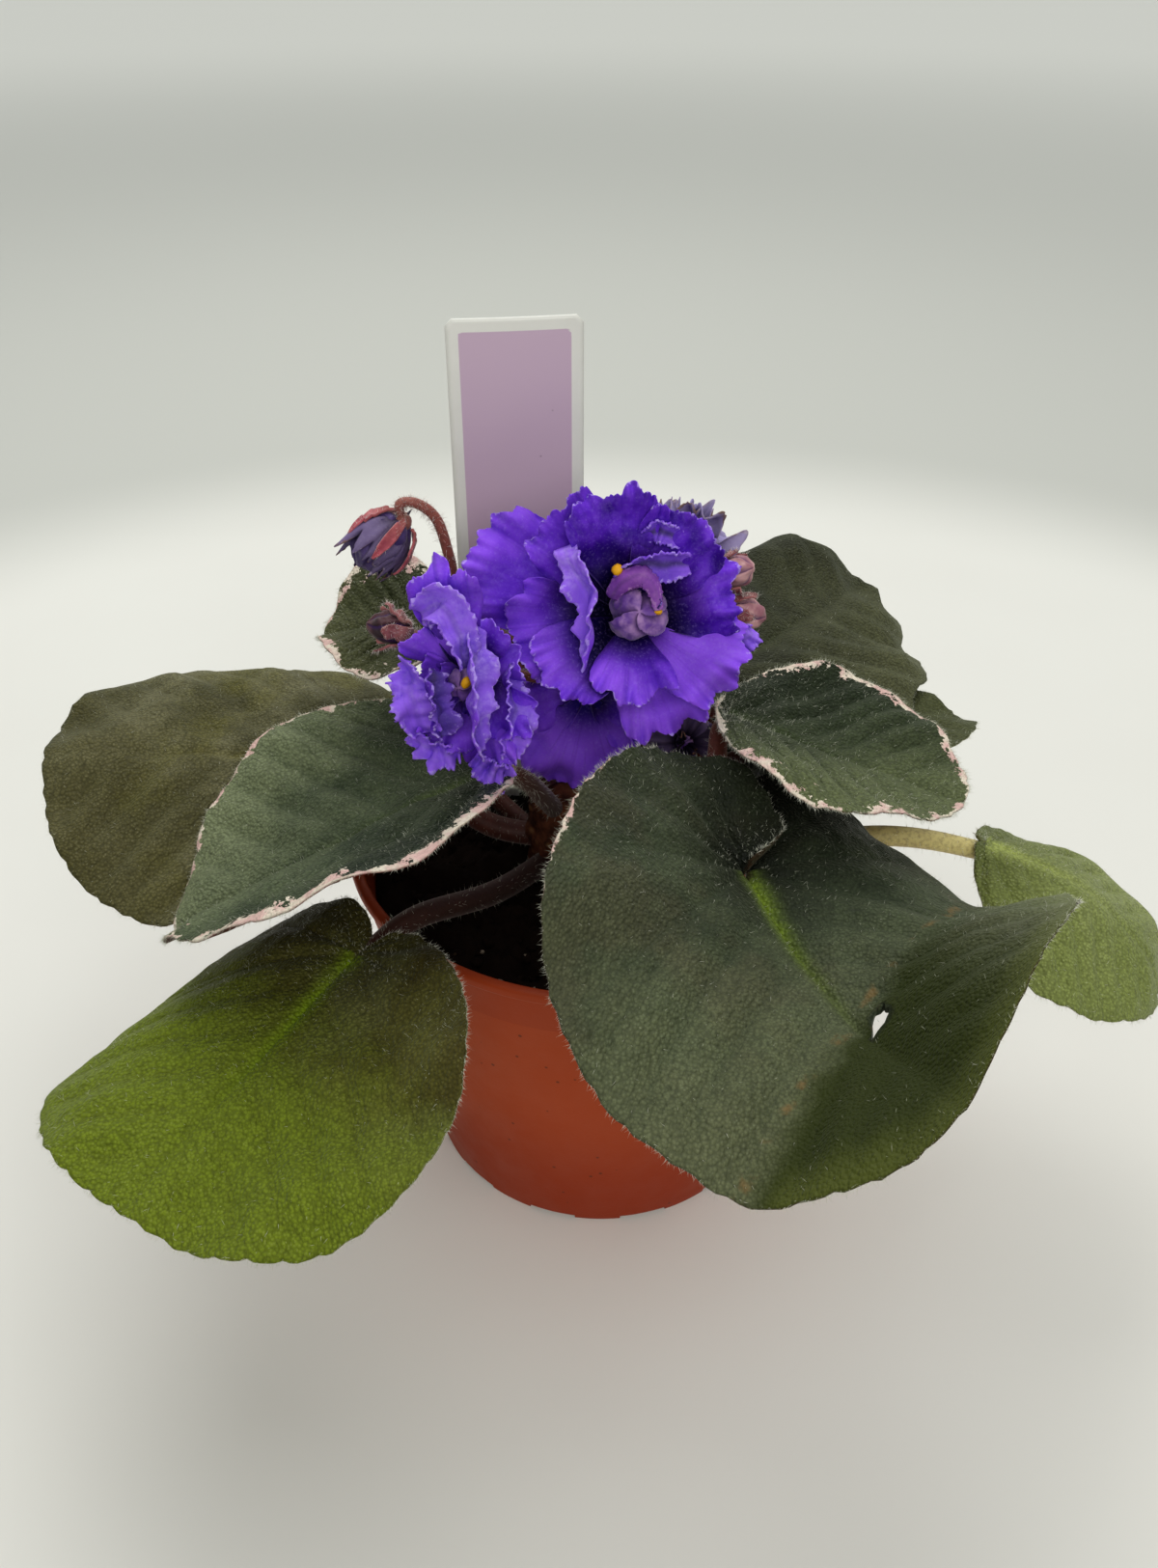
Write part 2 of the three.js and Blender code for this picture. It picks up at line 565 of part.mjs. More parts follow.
// Axes of a bloom or bud: viewer's right, up, and out of its face.
function faceAxes({ faces, tilt }) {
  const out = new THREE.Vector3(
    Math.cos(rad(tilt)) * Math.cos(rad(faces)),
    Math.cos(rad(tilt)) * Math.sin(rad(faces)),
    Math.sin(rad(tilt)));
  const right = new THREE.Vector3(-Math.sin(rad(faces)), Math.cos(rad(faces)), 0);
  const up = new THREE.Vector3().crossVectors(out, right);
  return { right, up, out };
}

function placed(bloom, x, y, z) {
  const { right, up, out } = faceAxes(bloom);
  return new THREE.Vector3(...bloom.at)
    .addScaledVector(right, x)
    .addScaledVector(up, y)
    .addScaledVector(out, z);
}

function petalPoint(bloom, petal, share, ray) {
  const reach = petal.reach * (1 - PETAL_SHOULDER * Math.abs(ray) ** 2.6);
  const length = reach * share;
  const from = rad(petal.lift[0]);
  const bend = rad(petal.lift[1] - petal.lift[0]) / reach;
  const distance = (Math.sin(from + bend * length) - Math.sin(from)) / bend;
  const height = -(Math.cos(from + bend * length) - Math.cos(from)) / bend;
  const aside = rad(petal.spread * ray);
  const angle = rad(petal.turn) + aside;
  const ruffle = petal.ruffle * share ** 2 * Math.sin(petal.ruffles * Math.PI * ray + petal.turn);
  const tipped = distance * Math.sin(aside) * Math.tan(rad(petal.roll ?? 0));
  return placed(bloom, distance * Math.cos(angle), distance * Math.sin(angle), height + ruffle + tipped);
}

function petalSolid(bloom, petal) {
  const { rings, spokes } = petal;
  const at = (ring, spoke) => {
    const ray = lerp(-1, 1, spoke / (spokes - 1));
    const frill = ring === rings ? PETAL_FRILL * (spoke % 2 ? 1 : -1) : 0;
    return petalPoint(bloom, petal, ring / rings + frill, ray);
  };
  return fanSheet(at, rings, spokes, PETAL_THICKNESS);
}

function bloomSolid(bloom, stalkClear) {
  const core = ellipsoid(placed(bloom, 0, 0, 0.6), [bloom.core, bloom.core, bloom.core]);
  const pieces = [core, ...bloom.petals.map((petal) => petalSolid(bloom, petal))];
  if (bloom.heart) pieces.push(ellipsoid(placed(bloom, ...bloom.heart.at), bloom.heart.radii));
  return mainBody(joined(pieces).subtract(stalkClear));
}

// Buds: a fluted ball of rolled petals, held by pointed sepals that lie on its side. `long` is the
// half length of the ball along the direction it faces.
const BUDS = [
  {
    name: 'bud_hanging', paint: 'fadedViolet', at: [-40.6, 4.6, 136.2], faces: -154, tilt: -40,
    radius: 5, long: 6, detail: 2,
  },
  {
    name: 'bud_left', paint: 'bud', at: [-37.6, -11.6, 127.4], faces: -170, tilt: 20,
    radius: 2.8, long: 3.9, detail: 1,
  },
  {
    name: 'bud_right_high', paint: 'bud', at: [23.4, 6, 130.4], faces: -20, tilt: 20,
    radius: 3, long: 4, detail: 1,
  },
  {
    name: 'bud_right_low', paint: 'bud', at: [25.6, 4, 123], faces: -10, tilt: -6,
    radius: 3.2, long: 4.2, detail: 1,
  },
];

function ballSolid(bud) {
  const geometry = new THREE.IcosahedronGeometry(1, bud.detail);
  const position = geometry.attributes.position;
  const vertex = new THREE.Vector3();
  for (let i = 0; i < position.count; i += 1) {
    vertex.fromBufferAttribute(position, i);
    const round = Math.atan2(vertex.y, vertex.x);
    const flute = BUD_FLUTE * Math.cos(5 * round + 4 * vertex.z) * Math.hypot(vertex.x, vertex.y);
    const wide = bud.radius * (1 + flute);
    const spot = placed(bud, vertex.x * wide, vertex.y * wide, vertex.z * bud.long);
    position.setXYZ(i, spot.x, spot.y, spot.z);
  }
  return solidOf(geometry);
}

// A sepal runs from the back of the bud over its side to a point that stands off a little.
function sepalSolid(bud, turn) {
  const at = (ring, spoke) => {
    const share = ring / SEPAL_RINGS;
    const half = SEPAL_HALF_ANGLE * Math.sin(Math.PI * lerp(0.25, 0.95, share));
    const angle = rad(turn + (spoke - 1) * half);
    const polar = rad(lerp(SEPAL_FROM, SEPAL_TO, share));
    const out = bud.radius * SEPAL_SPREAD * Math.sin(polar);
    return placed(bud, out * Math.cos(angle), out * Math.sin(angle), -bud.long * Math.cos(polar));
  };
  return fanSheet(at, SEPAL_RINGS, 3, SEPAL_THICKNESS);
}

function budSolid(bud, stalkClear) {
  const turns = [...Array(SEPALS).keys()].map((i) => (360 / SEPALS) * i + 20);
  const sepals = turns.map((turn) => sepalSolid(bud, turn));
  return mainBody(joined([ballSolid(bud), ...sepals]).subtract(stalkClear));
}

// The flower stalk: a peduncle from the crown that branches to every bloom and bud.
const STALK_FORK = [4, 8, 104];
const PEDUNCLE = {
  points: [[-8, -2, 84], [-5, 7, 92], [0, 9, 98], STALK_FORK],
  radii: [1.9, 1.8, 1.7, 1.6],
};
const HANGING_COURSE = [
  [-18, 9, 114], [-27, 7.4, 123], [-28.6, 6.8, 132],
  [-30.4, 6.5, 139.6], [-33.6, 6.4, 142.8], [-36.8, 6, 143],
];
const BRANCHES = [
  { to: 'bloom_main', via: [[4, 9, 116]], radius: 1.3 },
  { to: 'bloom_left', via: [[-8, 4, 113]], radius: 1.2 },
  { to: 'bloom_low', via: [[2, 8, 107]], radius: 1.1 },
  { to: 'bloom_back', via: [[9, 11, 114]], radius: 1.1 },
  { to: 'bloom_faded', via: [[11, 12, 100]], radius: 1.1 },
  { to: 'bud_hanging', via: HANGING_COURSE, radius: 1 },
  { to: 'bud_left', via: [[-14, 2, 110], [-27, -6, 121]], radius: 0.9 },
  { to: 'bud_right_high', via: [[14, 10, 116]], radius: 0.9 },
  { to: 'bud_right_low', via: [[14, 9, 110]], radius: 0.9 },
];

// Where a stalk meets a bloom or bud: a small cup behind it.
function cupOf(head) {
  const isBud = 'long' in head;
  const depth = isBud ? head.long * 0.9 : head.core + 0.6;
  return {
    centre: placed(head, 0, 0, -depth),
    radius: isBud ? head.radius * 0.5 : head.core * 0.75,
  };
}

function stalkSolid(heads, grow = 0) {
  const vectors = (points) => points.map((point) => new THREE.Vector3(...point));
  const thick = (value) => value + grow;
  const solids = [stem(vectors(PEDUNCLE.points), PEDUNCLE.radii.map(thick), 6, 6)];
  BRANCHES.forEach((branch) => {
    const head = heads.find(({ name }) => name === branch.to);
    const cup = cupOf(head);
    const points = [...vectors([STALK_FORK, ...branch.via]), cup.centre];
    const radii = [branch.radius, branch.radius, branch.radius * 0.9].map(thick);
    solids.push(stem(points, radii, 5, 2 + 2 * branch.via.length));
    const size = thick(cup.radius);
    solids.push(ellipsoid(cup.centre, [size, size, size], 0));
  });
  return joined(solids);
}

// Assembly

const crownSolid = turned(CROWN_PROFILE, 12, CROWN_AT);
const crownClear = turned(grown(CROWN_PROFILE, GAP), 12, CROWN_AT);
const heads = [...BLOOMS, ...BUDS];
const stalk = mainBody(stalkSolid(heads).subtract(crownClear));
const stalkClear = stalkSolid(heads, GAP);

const plant = new THREE.Group();
plant.add(meshOf('pot', potSolid(), PAINT.pot));
plant.add(meshOf('soil', mainBody(soilSolid(crownClear, labelSolid(GAP))), PAINT.soil));
plant.add(meshOf('crown', crownSolid, PAINT.crown));
plant.add(meshOf('label', labelSolid(), PAINT.label));
plant.add(meshOf('flower_stalk', stalk, PAINT.stalk));
LEAVES.forEach((leaf) => plant.add(meshOf(leaf.name, leafSolid(leaf, crownClear), PAINT[leaf.paint])));
BLOOMS.forEach((bloom) => plant.add(meshOf(bloom.name, bloomSolid(bloom, stalkClear), PAINT[bloom.paint])));
BUDS.forEach((bud) => plant.add(meshOf(bud.name, budSolid(bud, stalkClear), PAINT[bud.paint])));

export default plant;
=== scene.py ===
# %% [markdown]
# # A potted african violet
# A young african violet in its plastic nursery pot: a rosette of hairy leaves on long stalks, a
# branched flower stalk with ruffled double blooms and buds, and a tall plastic label behind it.
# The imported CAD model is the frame. Every piece below stands for one of its nodes, or grows on one,
# so the sizes and places here are the ones of the CAD source, in millimetres.

# %% Load the frame
import math

import bmesh
import bpy
import numpy as np
from mathutils import Matrix, Vector


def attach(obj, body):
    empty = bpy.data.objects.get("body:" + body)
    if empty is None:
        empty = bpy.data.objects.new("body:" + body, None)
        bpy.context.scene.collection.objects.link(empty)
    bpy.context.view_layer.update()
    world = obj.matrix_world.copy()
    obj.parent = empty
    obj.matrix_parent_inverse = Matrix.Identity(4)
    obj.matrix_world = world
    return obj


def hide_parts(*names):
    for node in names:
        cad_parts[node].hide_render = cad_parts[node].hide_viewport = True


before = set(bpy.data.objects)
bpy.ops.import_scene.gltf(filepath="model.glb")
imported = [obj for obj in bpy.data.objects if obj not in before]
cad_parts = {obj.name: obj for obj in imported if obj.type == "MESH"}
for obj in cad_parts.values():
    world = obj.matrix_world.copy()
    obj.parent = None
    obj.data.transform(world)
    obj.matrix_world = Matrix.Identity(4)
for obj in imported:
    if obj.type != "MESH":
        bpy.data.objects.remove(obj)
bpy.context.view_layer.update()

MM = 0.001
BODY = "root"

# %% [markdown]
# ## Camera
# The view is the one that a person has who stands in front of the table and looks down on the
# plant. A real camera could be placed by eye, but here it is worked out from the pot: a circle of
# known size at the rim and one at the base fix the distance, the height and the tilt.

# %% Camera
FOCAL_PX = 1350
IMAGE_HEIGHT_PX = 1625
SENSOR_MM = 36
CLIP_NEAR_M = 0.01
CLIP_FAR_M = 50
CAMERA_YAW = math.radians(1.275)
CAMERA_PITCH = math.radians(34.624)
CAMERA_AT = Vector((0, -212.96, 233.95)) * MM


def add_camera():
    """A camera whose view axis is yawed from +Y and pitched down, with the lens worked out in mm."""
    forward = Vector((
        -math.sin(CAMERA_YAW) * math.cos(CAMERA_PITCH),
        math.cos(CAMERA_YAW) * math.cos(CAMERA_PITCH),
        -math.sin(CAMERA_PITCH),
    ))
    data = bpy.data.cameras.new("camera")
    data.sensor_width = SENSOR_MM
    data.lens = SENSOR_MM * FOCAL_PX / IMAGE_HEIGHT_PX
    data.clip_start = CLIP_NEAR_M
    data.clip_end = CLIP_FAR_M
    camera = bpy.data.objects.new("camera", data)
    camera.location = CAMERA_AT
    camera.rotation_mode = "QUATERNION"
    camera.rotation_quaternion = forward.to_track_quat("-Z", "Y")
    bpy.context.scene.collection.objects.link(camera)
    bpy.context.scene.camera = camera
    return camera


camera = add_camera()
print("lens", round(camera.data.lens, 2), "mm")

# %% [markdown]
# ## Colours and material helpers
# Colours are given as they look on a screen, from 0 to 255, and turned into the linear light that
# the shader works with. The helpers add one node each, so that a material reads as a short recipe:
# a noise, a threshold, a mix of two colours.

# %% Material helpers
def screen(red, green, blue):
    """Linear colour of a screen colour: the sRGB curve, undone."""
    levels = np.array([red, green, blue]) / 255
    linear = np.where(levels <= 0.04045, levels / 12.92, ((levels + 0.055) / 1.055) ** 2.4)
    return (*linear.tolist(), 1.0)


def scaled(colour, factor, more=0):
    """Each level of a screen colour times a factor, plus the same amount more."""
    return tuple(factor * level + more for level in colour)


class Recipe:
    """A material under construction: the node tree, its shader and short ways to add nodes."""

    def __init__(self, name, roughness=0.6, specular=0.3):
        self.material = bpy.data.materials.new(name)
        self.material.use_nodes = True
        self.tree = self.material.node_tree
        self.shader = self.tree.nodes["Principled BSDF"]
        self.shader.inputs["Roughness"].default_value = roughness
        self.shader.inputs["Specular IOR Level"].default_value = specular
        self.place = self.node("ShaderNodeTexCoord").outputs["Object"]

    def node(self, kind, **settings):
        """A new node of a kind, with its settings."""
        made = self.tree.nodes.new(kind)
        for key, value in settings.items():
            setattr(made, key, value)
        return made

    def feed(self, socket, value):
        """Links an output to the socket, or sets a constant: on a colour socket, a screen colour."""
        if isinstance(value, bpy.types.NodeSocket):
            self.tree.links.new(value, socket)
        elif socket.type == "RGBA":
            socket.default_value = screen(*value)
        else:
            socket.default_value = value

    def attribute(self, name):
        """A number that the mesh carries at each of its points."""
        return self.node("ShaderNodeAttribute", attribute_name=name).outputs["Fac"]

    def texture(self, kind, size, vector):
        """A texture of a size in mm on Object coordinates, or in a given vector's own units."""
        made = self.node(kind)
        self.feed(made.inputs["Vector"], self.place if vector is None else vector)
        made.inputs["Scale"].default_value = 1 / (size * (MM if vector is None else 1))
        return made

    def noise(self, size, detail=3.0, vector=None, roughness=0.55):
        """Smooth noise whose lumps are about as wide as the size."""
        made = self.texture("ShaderNodeTexNoise", size, vector)
        made.inputs["Detail"].default_value = detail
        made.inputs["Roughness"].default_value = roughness
        return made.outputs["Fac"]

    def cells(self, size):
        """Distance to the nearest of scattered points that lie about the size apart."""
        return self.texture("ShaderNodeTexVoronoi", size, None).outputs["Distance"]

    def stretch(self, vector, scale):
        """Coordinates multiplied axis by axis: less than 1 draws a pattern out."""
        made = self.node("ShaderNodeMapping")
        self.feed(made.inputs["Vector"], vector)
        made.inputs["Scale"].default_value = scale
        return made.outputs["Vector"]

    def patches(self, size, detail, low, high, to_low=0.0, to_high=1.0):
        """Noise carried to a new range, which leaves patches with soft edges."""
        return self.step(self.noise(size, detail), low, high, to_low, to_high)

    def step(self, value, low, high, to_low=0.0, to_high=1.0):
        """Value carried smoothly from the range low to high to a new range."""
        made = self.node("ShaderNodeMapRange", interpolation_type="SMOOTHSTEP")
        self.feed(made.inputs["Value"], value)
        made.inputs["From Min"].default_value = low
        made.inputs["From Max"].default_value = high
        made.inputs["To Min"].default_value = to_low
        made.inputs["To Max"].default_value = to_high
        return made.outputs["Result"]

    def maths(self, operation, first, second=0.0):
        """One number from two by the named operation."""
        made = self.node("ShaderNodeMath", operation=operation)
        self.feed(made.inputs[0], first)
        self.feed(made.inputs[1], second)
        return made.outputs["Value"]

    def times(self, first, second):
        return self.maths("MULTIPLY", first, second)

    def plus(self, first, second):
        return self.maths("ADD", first, second)

    def minus(self, first, second):
        return self.maths("SUBTRACT", first, second)

    def mix(self, factor, first, second):
        """The first colour where the factor is 0, the second where it is 1."""
        made = self.node("ShaderNodeMix", data_type="RGBA")
        self.feed(made.inputs["Factor"], factor)
        self.feed(made.inputs["A"], first)
        self.feed(made.inputs["B"], second)
        return made.outputs["Result"]

    def bump(self, height, depth_mm, strength=1.0, under=None):
        """The surface's direction as if it were raised by height times the depth."""
        made = self.node("ShaderNodeBump")
        made.inputs["Strength"].default_value = strength
        made.inputs["Distance"].default_value = depth_mm * MM
        self.feed(made.inputs["Height"], height)
        if under is not None:
            self.feed(made.inputs["Normal"], under)
        return made.outputs["Normal"]

    def sheen(self, weight, tint=None, roughness=None):
        """Soft light at a flat angle, as from short hairs or velvet."""
        self.shader.inputs["Sheen Weight"].default_value = weight
        if tint is not None:
            self.shader.inputs["Sheen Tint"].default_value = screen(*tint)
        if roughness is not None:
            self.shader.inputs["Sheen Roughness"].default_value = roughness

    def paint(self, factor, first, second):
        """Starts the colour with a mix of two."""
        self.colour = self.mix(factor, first, second)

    def cover(self, factor, colour):
        """Lays a colour over the colour so far, where and as much as the factor says."""
        self.colour = self.mix(factor, self.colour, colour)

    def done(self, normal=None):
        """Joins the colour, and the direction if there is one, to the shader."""
        self.feed(self.shader.inputs["Base Color"], self.colour)
        if normal is not None:
            self.feed(self.shader.inputs["Normal"], normal)
        return self.material


# %% [markdown]
# ## Stage
# A pale table top under a large soft lamp, with a second lamp in front and even grey light from all
# round. The main lamp stands behind the plant and above it, so the near side of the pot and the soil
# stay in soft shade while the upper faces of the leaves catch the light.

# %% Stage
FLOOR_HALF_M = 6.0
PLANT_HEART = Vector((0, 0, 0.08))
LAMP_AT = Vector((-0.15, 0.65, 0.9))
LAMP_SIZE_M = 0.8
LAMP_WATTS = 3.4
FILL_AT = Vector((0.2, -0.9, 0.7))
FILL_WATTS = 4.2
SKY_LIGHT_FROM = Vector((0.1, 0.3, 1.0))
SKY_LIGHT_STRENGTH = 0.92
SKY_LIGHT_ANGLE = math.radians(60)
AMBIENT = 0.46
AMBIENT_COLOUR = (0.97, 1.0, 0.96, 1)


def add_floor():
    """A square table top with painted light round the pot, painted shade a little way off and lighter again
    far away, as the distance grows.
    """
    recipe = Recipe("table", roughness=0.6)
    recipe.paint(recipe.noise(90, 2), (211, 211, 206), (207, 206, 201))
    away = recipe.node("ShaderNodeVectorMath", operation="LENGTH")
    recipe.feed(away.inputs["Vector"], recipe.place)
    away = away.outputs["Value"]
    # Painted light: the floor is lighter close round the pot, where the plant's shadow falls.
    recipe.cover(recipe.step(away, 0.06, 0.13, 0.9, 0), (238, 238, 234))
    # Painted shade: darker a little way off, as the lamps' light falls off.
    recipe.cover(recipe.step(away, 0.33, 0.45), (180, 181, 176))
    recipe.cover(recipe.step(away, 0.8, 2.6), (218, 218, 213))
    mesh = bpy.data.meshes.new("floor")
    h = FLOOR_HALF_M
    mesh.from_pydata([(-h, -h, 0), (h, -h, 0), (h, h, 0), (-h, h, 0)], [], [(0, 1, 2, 3)])
    mesh.materials.append(recipe.done())
    floor = bpy.data.objects.new("floor", mesh)
    bpy.context.scene.collection.objects.link(floor)


def add_lamp(name, at, size, watts, colour):
    """A round soft lamp that is turned to the middle of the plant."""
    data = bpy.data.lights.new(name, "AREA")
    data.shape = "DISK"
    data.size = size
    data.energy = watts
    data.color = colour
    lamp = bpy.data.objects.new(name, data)
    lamp.location = at
    lamp.rotation_mode = "QUATERNION"
    lamp.rotation_quaternion = (PLANT_HEART - at).to_track_quat("-Z", "Y")
    bpy.context.scene.collection.objects.link(lamp)


def add_sky_light():
    """Even light from a broad patch of sky, as a sun with a wide angle."""
    data = bpy.data.lights.new("sky_light", "SUN")
    data.energy = SKY_LIGHT_STRENGTH
    data.angle = SKY_LIGHT_ANGLE
    light = bpy.data.objects.new("sky_light", data)
    light.rotation_mode = "QUATERNION"
    light.rotation_quaternion = (-SKY_LIGHT_FROM).to_track_quat("-Z", "Y")
    bpy.context.scene.collection.objects.link(light)


def light_the_stage():
    """Grey light from all round, the two lamps and the sky, seen with a little more contrast."""
    world = bpy.data.worlds.new("studio")
    world.use_nodes = True
    background = world.node_tree.nodes["Background"]
    background.inputs["Color"].default_value = AMBIENT_COLOUR
    background.inputs["Strength"].default_value = AMBIENT
    bpy.context.scene.world = world
    bpy.context.scene.view_settings.view_transform = "Standard"
    bpy.context.scene.view_settings.look = "Medium High Contrast"
    add_lamp("lamp_behind", LAMP_AT, LAMP_SIZE_M, LAMP_WATTS, (1.0, 0.99, 0.96))
    add_lamp("lamp_fill", FILL_AT, LAMP_SIZE_M, FILL_WATTS, (1.0, 0.97, 0.94))
    add_sky_light()


add_floor()
light_the_stage()
print("stage ready")

# %% [markdown]
# ## Sheets, tubes and lumps
# Nearly everything on a plant is one of three forms: a thin sheet (leaf, petal, sepal), a tapering
# tube (stalk) or a lump (bud, soil crumb). Each could be sculpted, but a formula keeps the edges
# closed and the thickness true, so each helper turns whole arrays of points into a closed shell.

# %% Grids
def grid_faces(rows, cols, around=False):
    """Corner numbers of the cells between rows by cols points. With around, the last column is joined
    to the first."""
    row = np.arange(rows - 1)[:, None]
    col = np.arange(cols if around else cols - 1)[None, :]
    first = row * cols + col
    second = row * cols + (col + 1) % cols
    return np.stack([first, second, second + cols, first + cols], -1).reshape(-1, 4)


def unit(vectors):
    """Each vector divided by its length."""
    return vectors / np.maximum(np.linalg.norm(vectors, axis=-1, keepdims=True), 1e-9)


def grid_normals(points):
    """Cross product of the steps along the rows and along the columns, with a pole row averaged."""
    normal = np.cross(np.gradient(points, axis=0), np.gradient(points, axis=1))
    normal[0] = normal[1].mean(0) if np.allclose(points[0, 0], points[0, -1]) else normal[0]
    return unit(normal)


def border_of(rows, cols):
    """Point numbers once round the edge of a grid: first row, last column, last row, first column."""
    return np.concatenate([
        np.arange(cols - 1),
        np.arange(rows - 1) * cols + cols - 1,
        (rows - 1) * cols + np.arange(cols - 1, 0, -1),
        np.arange(rows - 1, 0, -1) * cols,
    ])


def sheet_shell(middle, thickness, **facts):
    """Closed shell: the middle surface shifted by half the thickness to both sides along its normal,
    joined round the edge. The facts are numbers for the finish, one for each point of the surface."""
    rows, cols = middle.shape[:2]
    half = grid_normals(middle) * np.asarray(thickness)[..., None] / 2
    count = rows * cols
    top = grid_faces(rows, cols)
    edge = border_of(rows, cols)
    wall = np.stack([edge, np.roll(edge, -1), np.roll(edge, -1) + count, edge + count], -1)
    points = np.concatenate([(middle + half).reshape(-1, 3), (middle - half).reshape(-1, 3)])
    spread = {name: np.broadcast_to(value, (rows, cols)).ravel() for name, value in facts.items()}
    kept = {name: np.tile(values, 2) for name, values in spread.items()}
    kept["under"] = np.repeat([0.0, 1.0], count)
    return points, [top, top[:, ::-1] + count, wall], kept


def smooth_path(points, steps):
    """Catmull-Rom curve through the points: cubic pieces whose slope at a point is half the step
    between its neighbours."""
    p = np.asarray(points, float)
    p = np.concatenate([2 * p[:1] - p[1:2], p, 2 * p[-1:] - p[-2:-1]])
    place = np.linspace(0, len(p) - 3 - 1e-9, steps)
    i = place.astype(int)
    t = (place - i)[:, None]
    a, b, c, d = p[i], p[i + 1], p[i + 2], p[i + 3]
    square = 2 * a - 5 * b + 4 * c - d
    cube = 3 * b - a - 3 * c + d
    return 0.5 * (2 * b + (c - a) * t + square * t**2 + cube * t**3)


TUBE_SIDES = 14


def tube_shell(path, radii):
    """Rings of points round a path, in the plane across it, closed by a point at each end. The radii
    are spread evenly over the path, with straight tapers between them."""
    radii = np.interp(np.linspace(0, 1, len(path)), np.linspace(0, 1, len(radii)), radii)
    radii = np.concatenate([[0], radii, [0]])
    path = np.concatenate([path[:1], path, path[-1:]])
    along = unit(np.gradient(path[1:-1], axis=0))
    along = np.concatenate([along[:1], along, along[-1:]])
    bow = path[len(path) // 2] - (path[0] + path[-1]) / 2
    across = np.cross(path[-1] - path[0], bow if np.linalg.norm(bow) > 0.3 else [0.3, 0.5, 1.0])
    side = unit(np.cross(along, unit(across)))
    other = np.cross(along, side)
    turn = np.linspace(0, 2 * math.pi, TUBE_SIDES, endpoint=False)[None, :, None]
    ring = side[:, None] * np.cos(turn) + other[:, None] * np.sin(turn)
    points = path[:, None] + radii[:, None, None] * ring
    rows = len(path)
    along = np.repeat(np.linspace(0, 1, rows), TUBE_SIDES)
    return points.reshape(-1, 3), [grid_faces(rows, TUBE_SIDES, around=True)], {"along": along}


def wobble(points, size_mm, seed, waves=22):
    """Smooth noise about 1 high: a sum of sine waves with random directions and a length near size_mm."""
    draw = np.random.default_rng(seed)
    points = np.asarray(points, float)
    aim = unit(draw.normal(size=(waves, points.shape[-1])))
    rate = 2 * math.pi / size_mm * draw.uniform(0.6, 1.5, waves)
    phase = draw.uniform(0, 2 * math.pi, waves)
    return np.sin(points @ (aim * rate[:, None]).T + phase).sum(-1) / math.sqrt(waves / 2)


# %% Pieces
WELD_M = 2e-6


def mesh_from(name, shells, weld=True):
    """One mesh of several shells, whose facts become attributes of its points. Points that coincide
    are merged, which closes poles and thin edges."""
    points, faces, facts, start = [], [], {}, 0
    for shell_points, shell_faces, shell_facts in shells:
        points.append(shell_points)
        faces.extend((block + start).tolist() for block in shell_faces)
        for key, value in shell_facts.items():
            facts.setdefault(key, []).append(value)
        start += len(shell_points)
    mesh = bpy.data.meshes.new(name)
    mesh.from_pydata((np.concatenate(points) * MM).tolist(), [], [face for block in faces for face in block])
    for key, values in facts.items():
        layer = mesh.attributes.new(key, "FLOAT", "POINT")
        layer.data.foreach_set("value", np.concatenate(values).astype(np.float32))
    if weld:
        shape = bmesh.new()
        shape.from_mesh(mesh)
        bmesh.ops.remove_doubles(shape, verts=shape.verts, dist=WELD_M)
        bmesh.ops.recalc_face_normals(shape, faces=shape.faces)
        shape.to_mesh(mesh)
        shape.free()
    mesh.shade_smooth()
    return mesh


def add_piece(name, shells, material, replaces=(), weld=True):
    """A finished object of the shells, riding on the body, with the CAD parts that it replaces hidden."""
    mesh = mesh_from(name, shells, weld)
    mesh.materials.append(material)
    piece = bpy.data.objects.new(name, mesh)
    bpy.context.scene.collection.objects.link(piece)
    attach(piece, BODY)
    if replaces:
        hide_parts(*replaces)
    print(name, len(mesh.polygons), "faces")
    return piece


# %% Hairs
HAIR_WIDTH = 0.075
HAIR_FACES = ([0, 1, 3], [1, 2, 3], [2, 0, 3], [0, 2, 1])


def hair_shell(roots, tips):
    """Thin three-sided needles: a triangle of points round each root, and one point at the tip."""
    along = unit(tips - roots)
    side = unit(np.cross(along, [0.31, 0.17, 0.93]))
    other = np.cross(along, side)
    turn = np.radians([0, 120, 240])[None, :, None]
    ring = side[:, None] * np.cos(turn) + other[:, None] * np.sin(turn)
    foot = roots[:, None] + HAIR_WIDTH / 2 * ring
    points = np.concatenate([foot, tips[:, None]], 1).reshape(-1, 3)
    first = np.arange(len(roots))[:, None] * 4
    return points, [first + np.array(corners) for corners in HAIR_FACES], {}


def scattered(points, normals, count, seed, rows=None):
    """Random places on a grid surface, with the normal and the direction from row to row there: a
    random cell, and in it a random share of the step to the next row and of that to the next column."""
    draw = np.random.default_rng(seed)
    last_row, last_col = points.shape[0] - 1, points.shape[1] - 1
    i = draw.integers(*(rows or (0, last_row)), count)
    j = draw.integers(0, last_col, count)
    a, b = draw.random((2, count, 1))
    step = points[i + 1, j] - points[i, j]
    place = points[i, j] + a * step + b * (points[i, j + 1] - points[i, j])
    return place, normals[i, j], unit(step), draw


# %% [markdown]
# ## Pot
# The real pot is injection-moulded plastic: a flared wall with a faint collar line, a rolled lip, a
# row of shallow notches round the base and drain holes in the floor. A lathe profile with many
# segments gives the round stretches, and Booleans cut the notches and holes as a mould's cores do.

# %% Pot shape
RIM_RADIUS = 51
BASE_RADIUS = 37.5
POT_HEIGHT = 77
WALL = 1.4
POT_FLOOR = 2.4
COLLAR = 65.5
COLLAR_STEP = 0.5
LIP_WIDTH = 2.2
EDGE = 0.7
POT_SEGMENTS = 200
ARC_POINTS = 4
FEET = 12
NOTCH = (8, 10, 2.6)
DRAINS = 6
DRAIN_RADIUS = 3
DRAIN_RING = 27
DRAIN_CORE = 12
FLOOR_RING = 20
SHARP_ANGLE = math.radians(35)


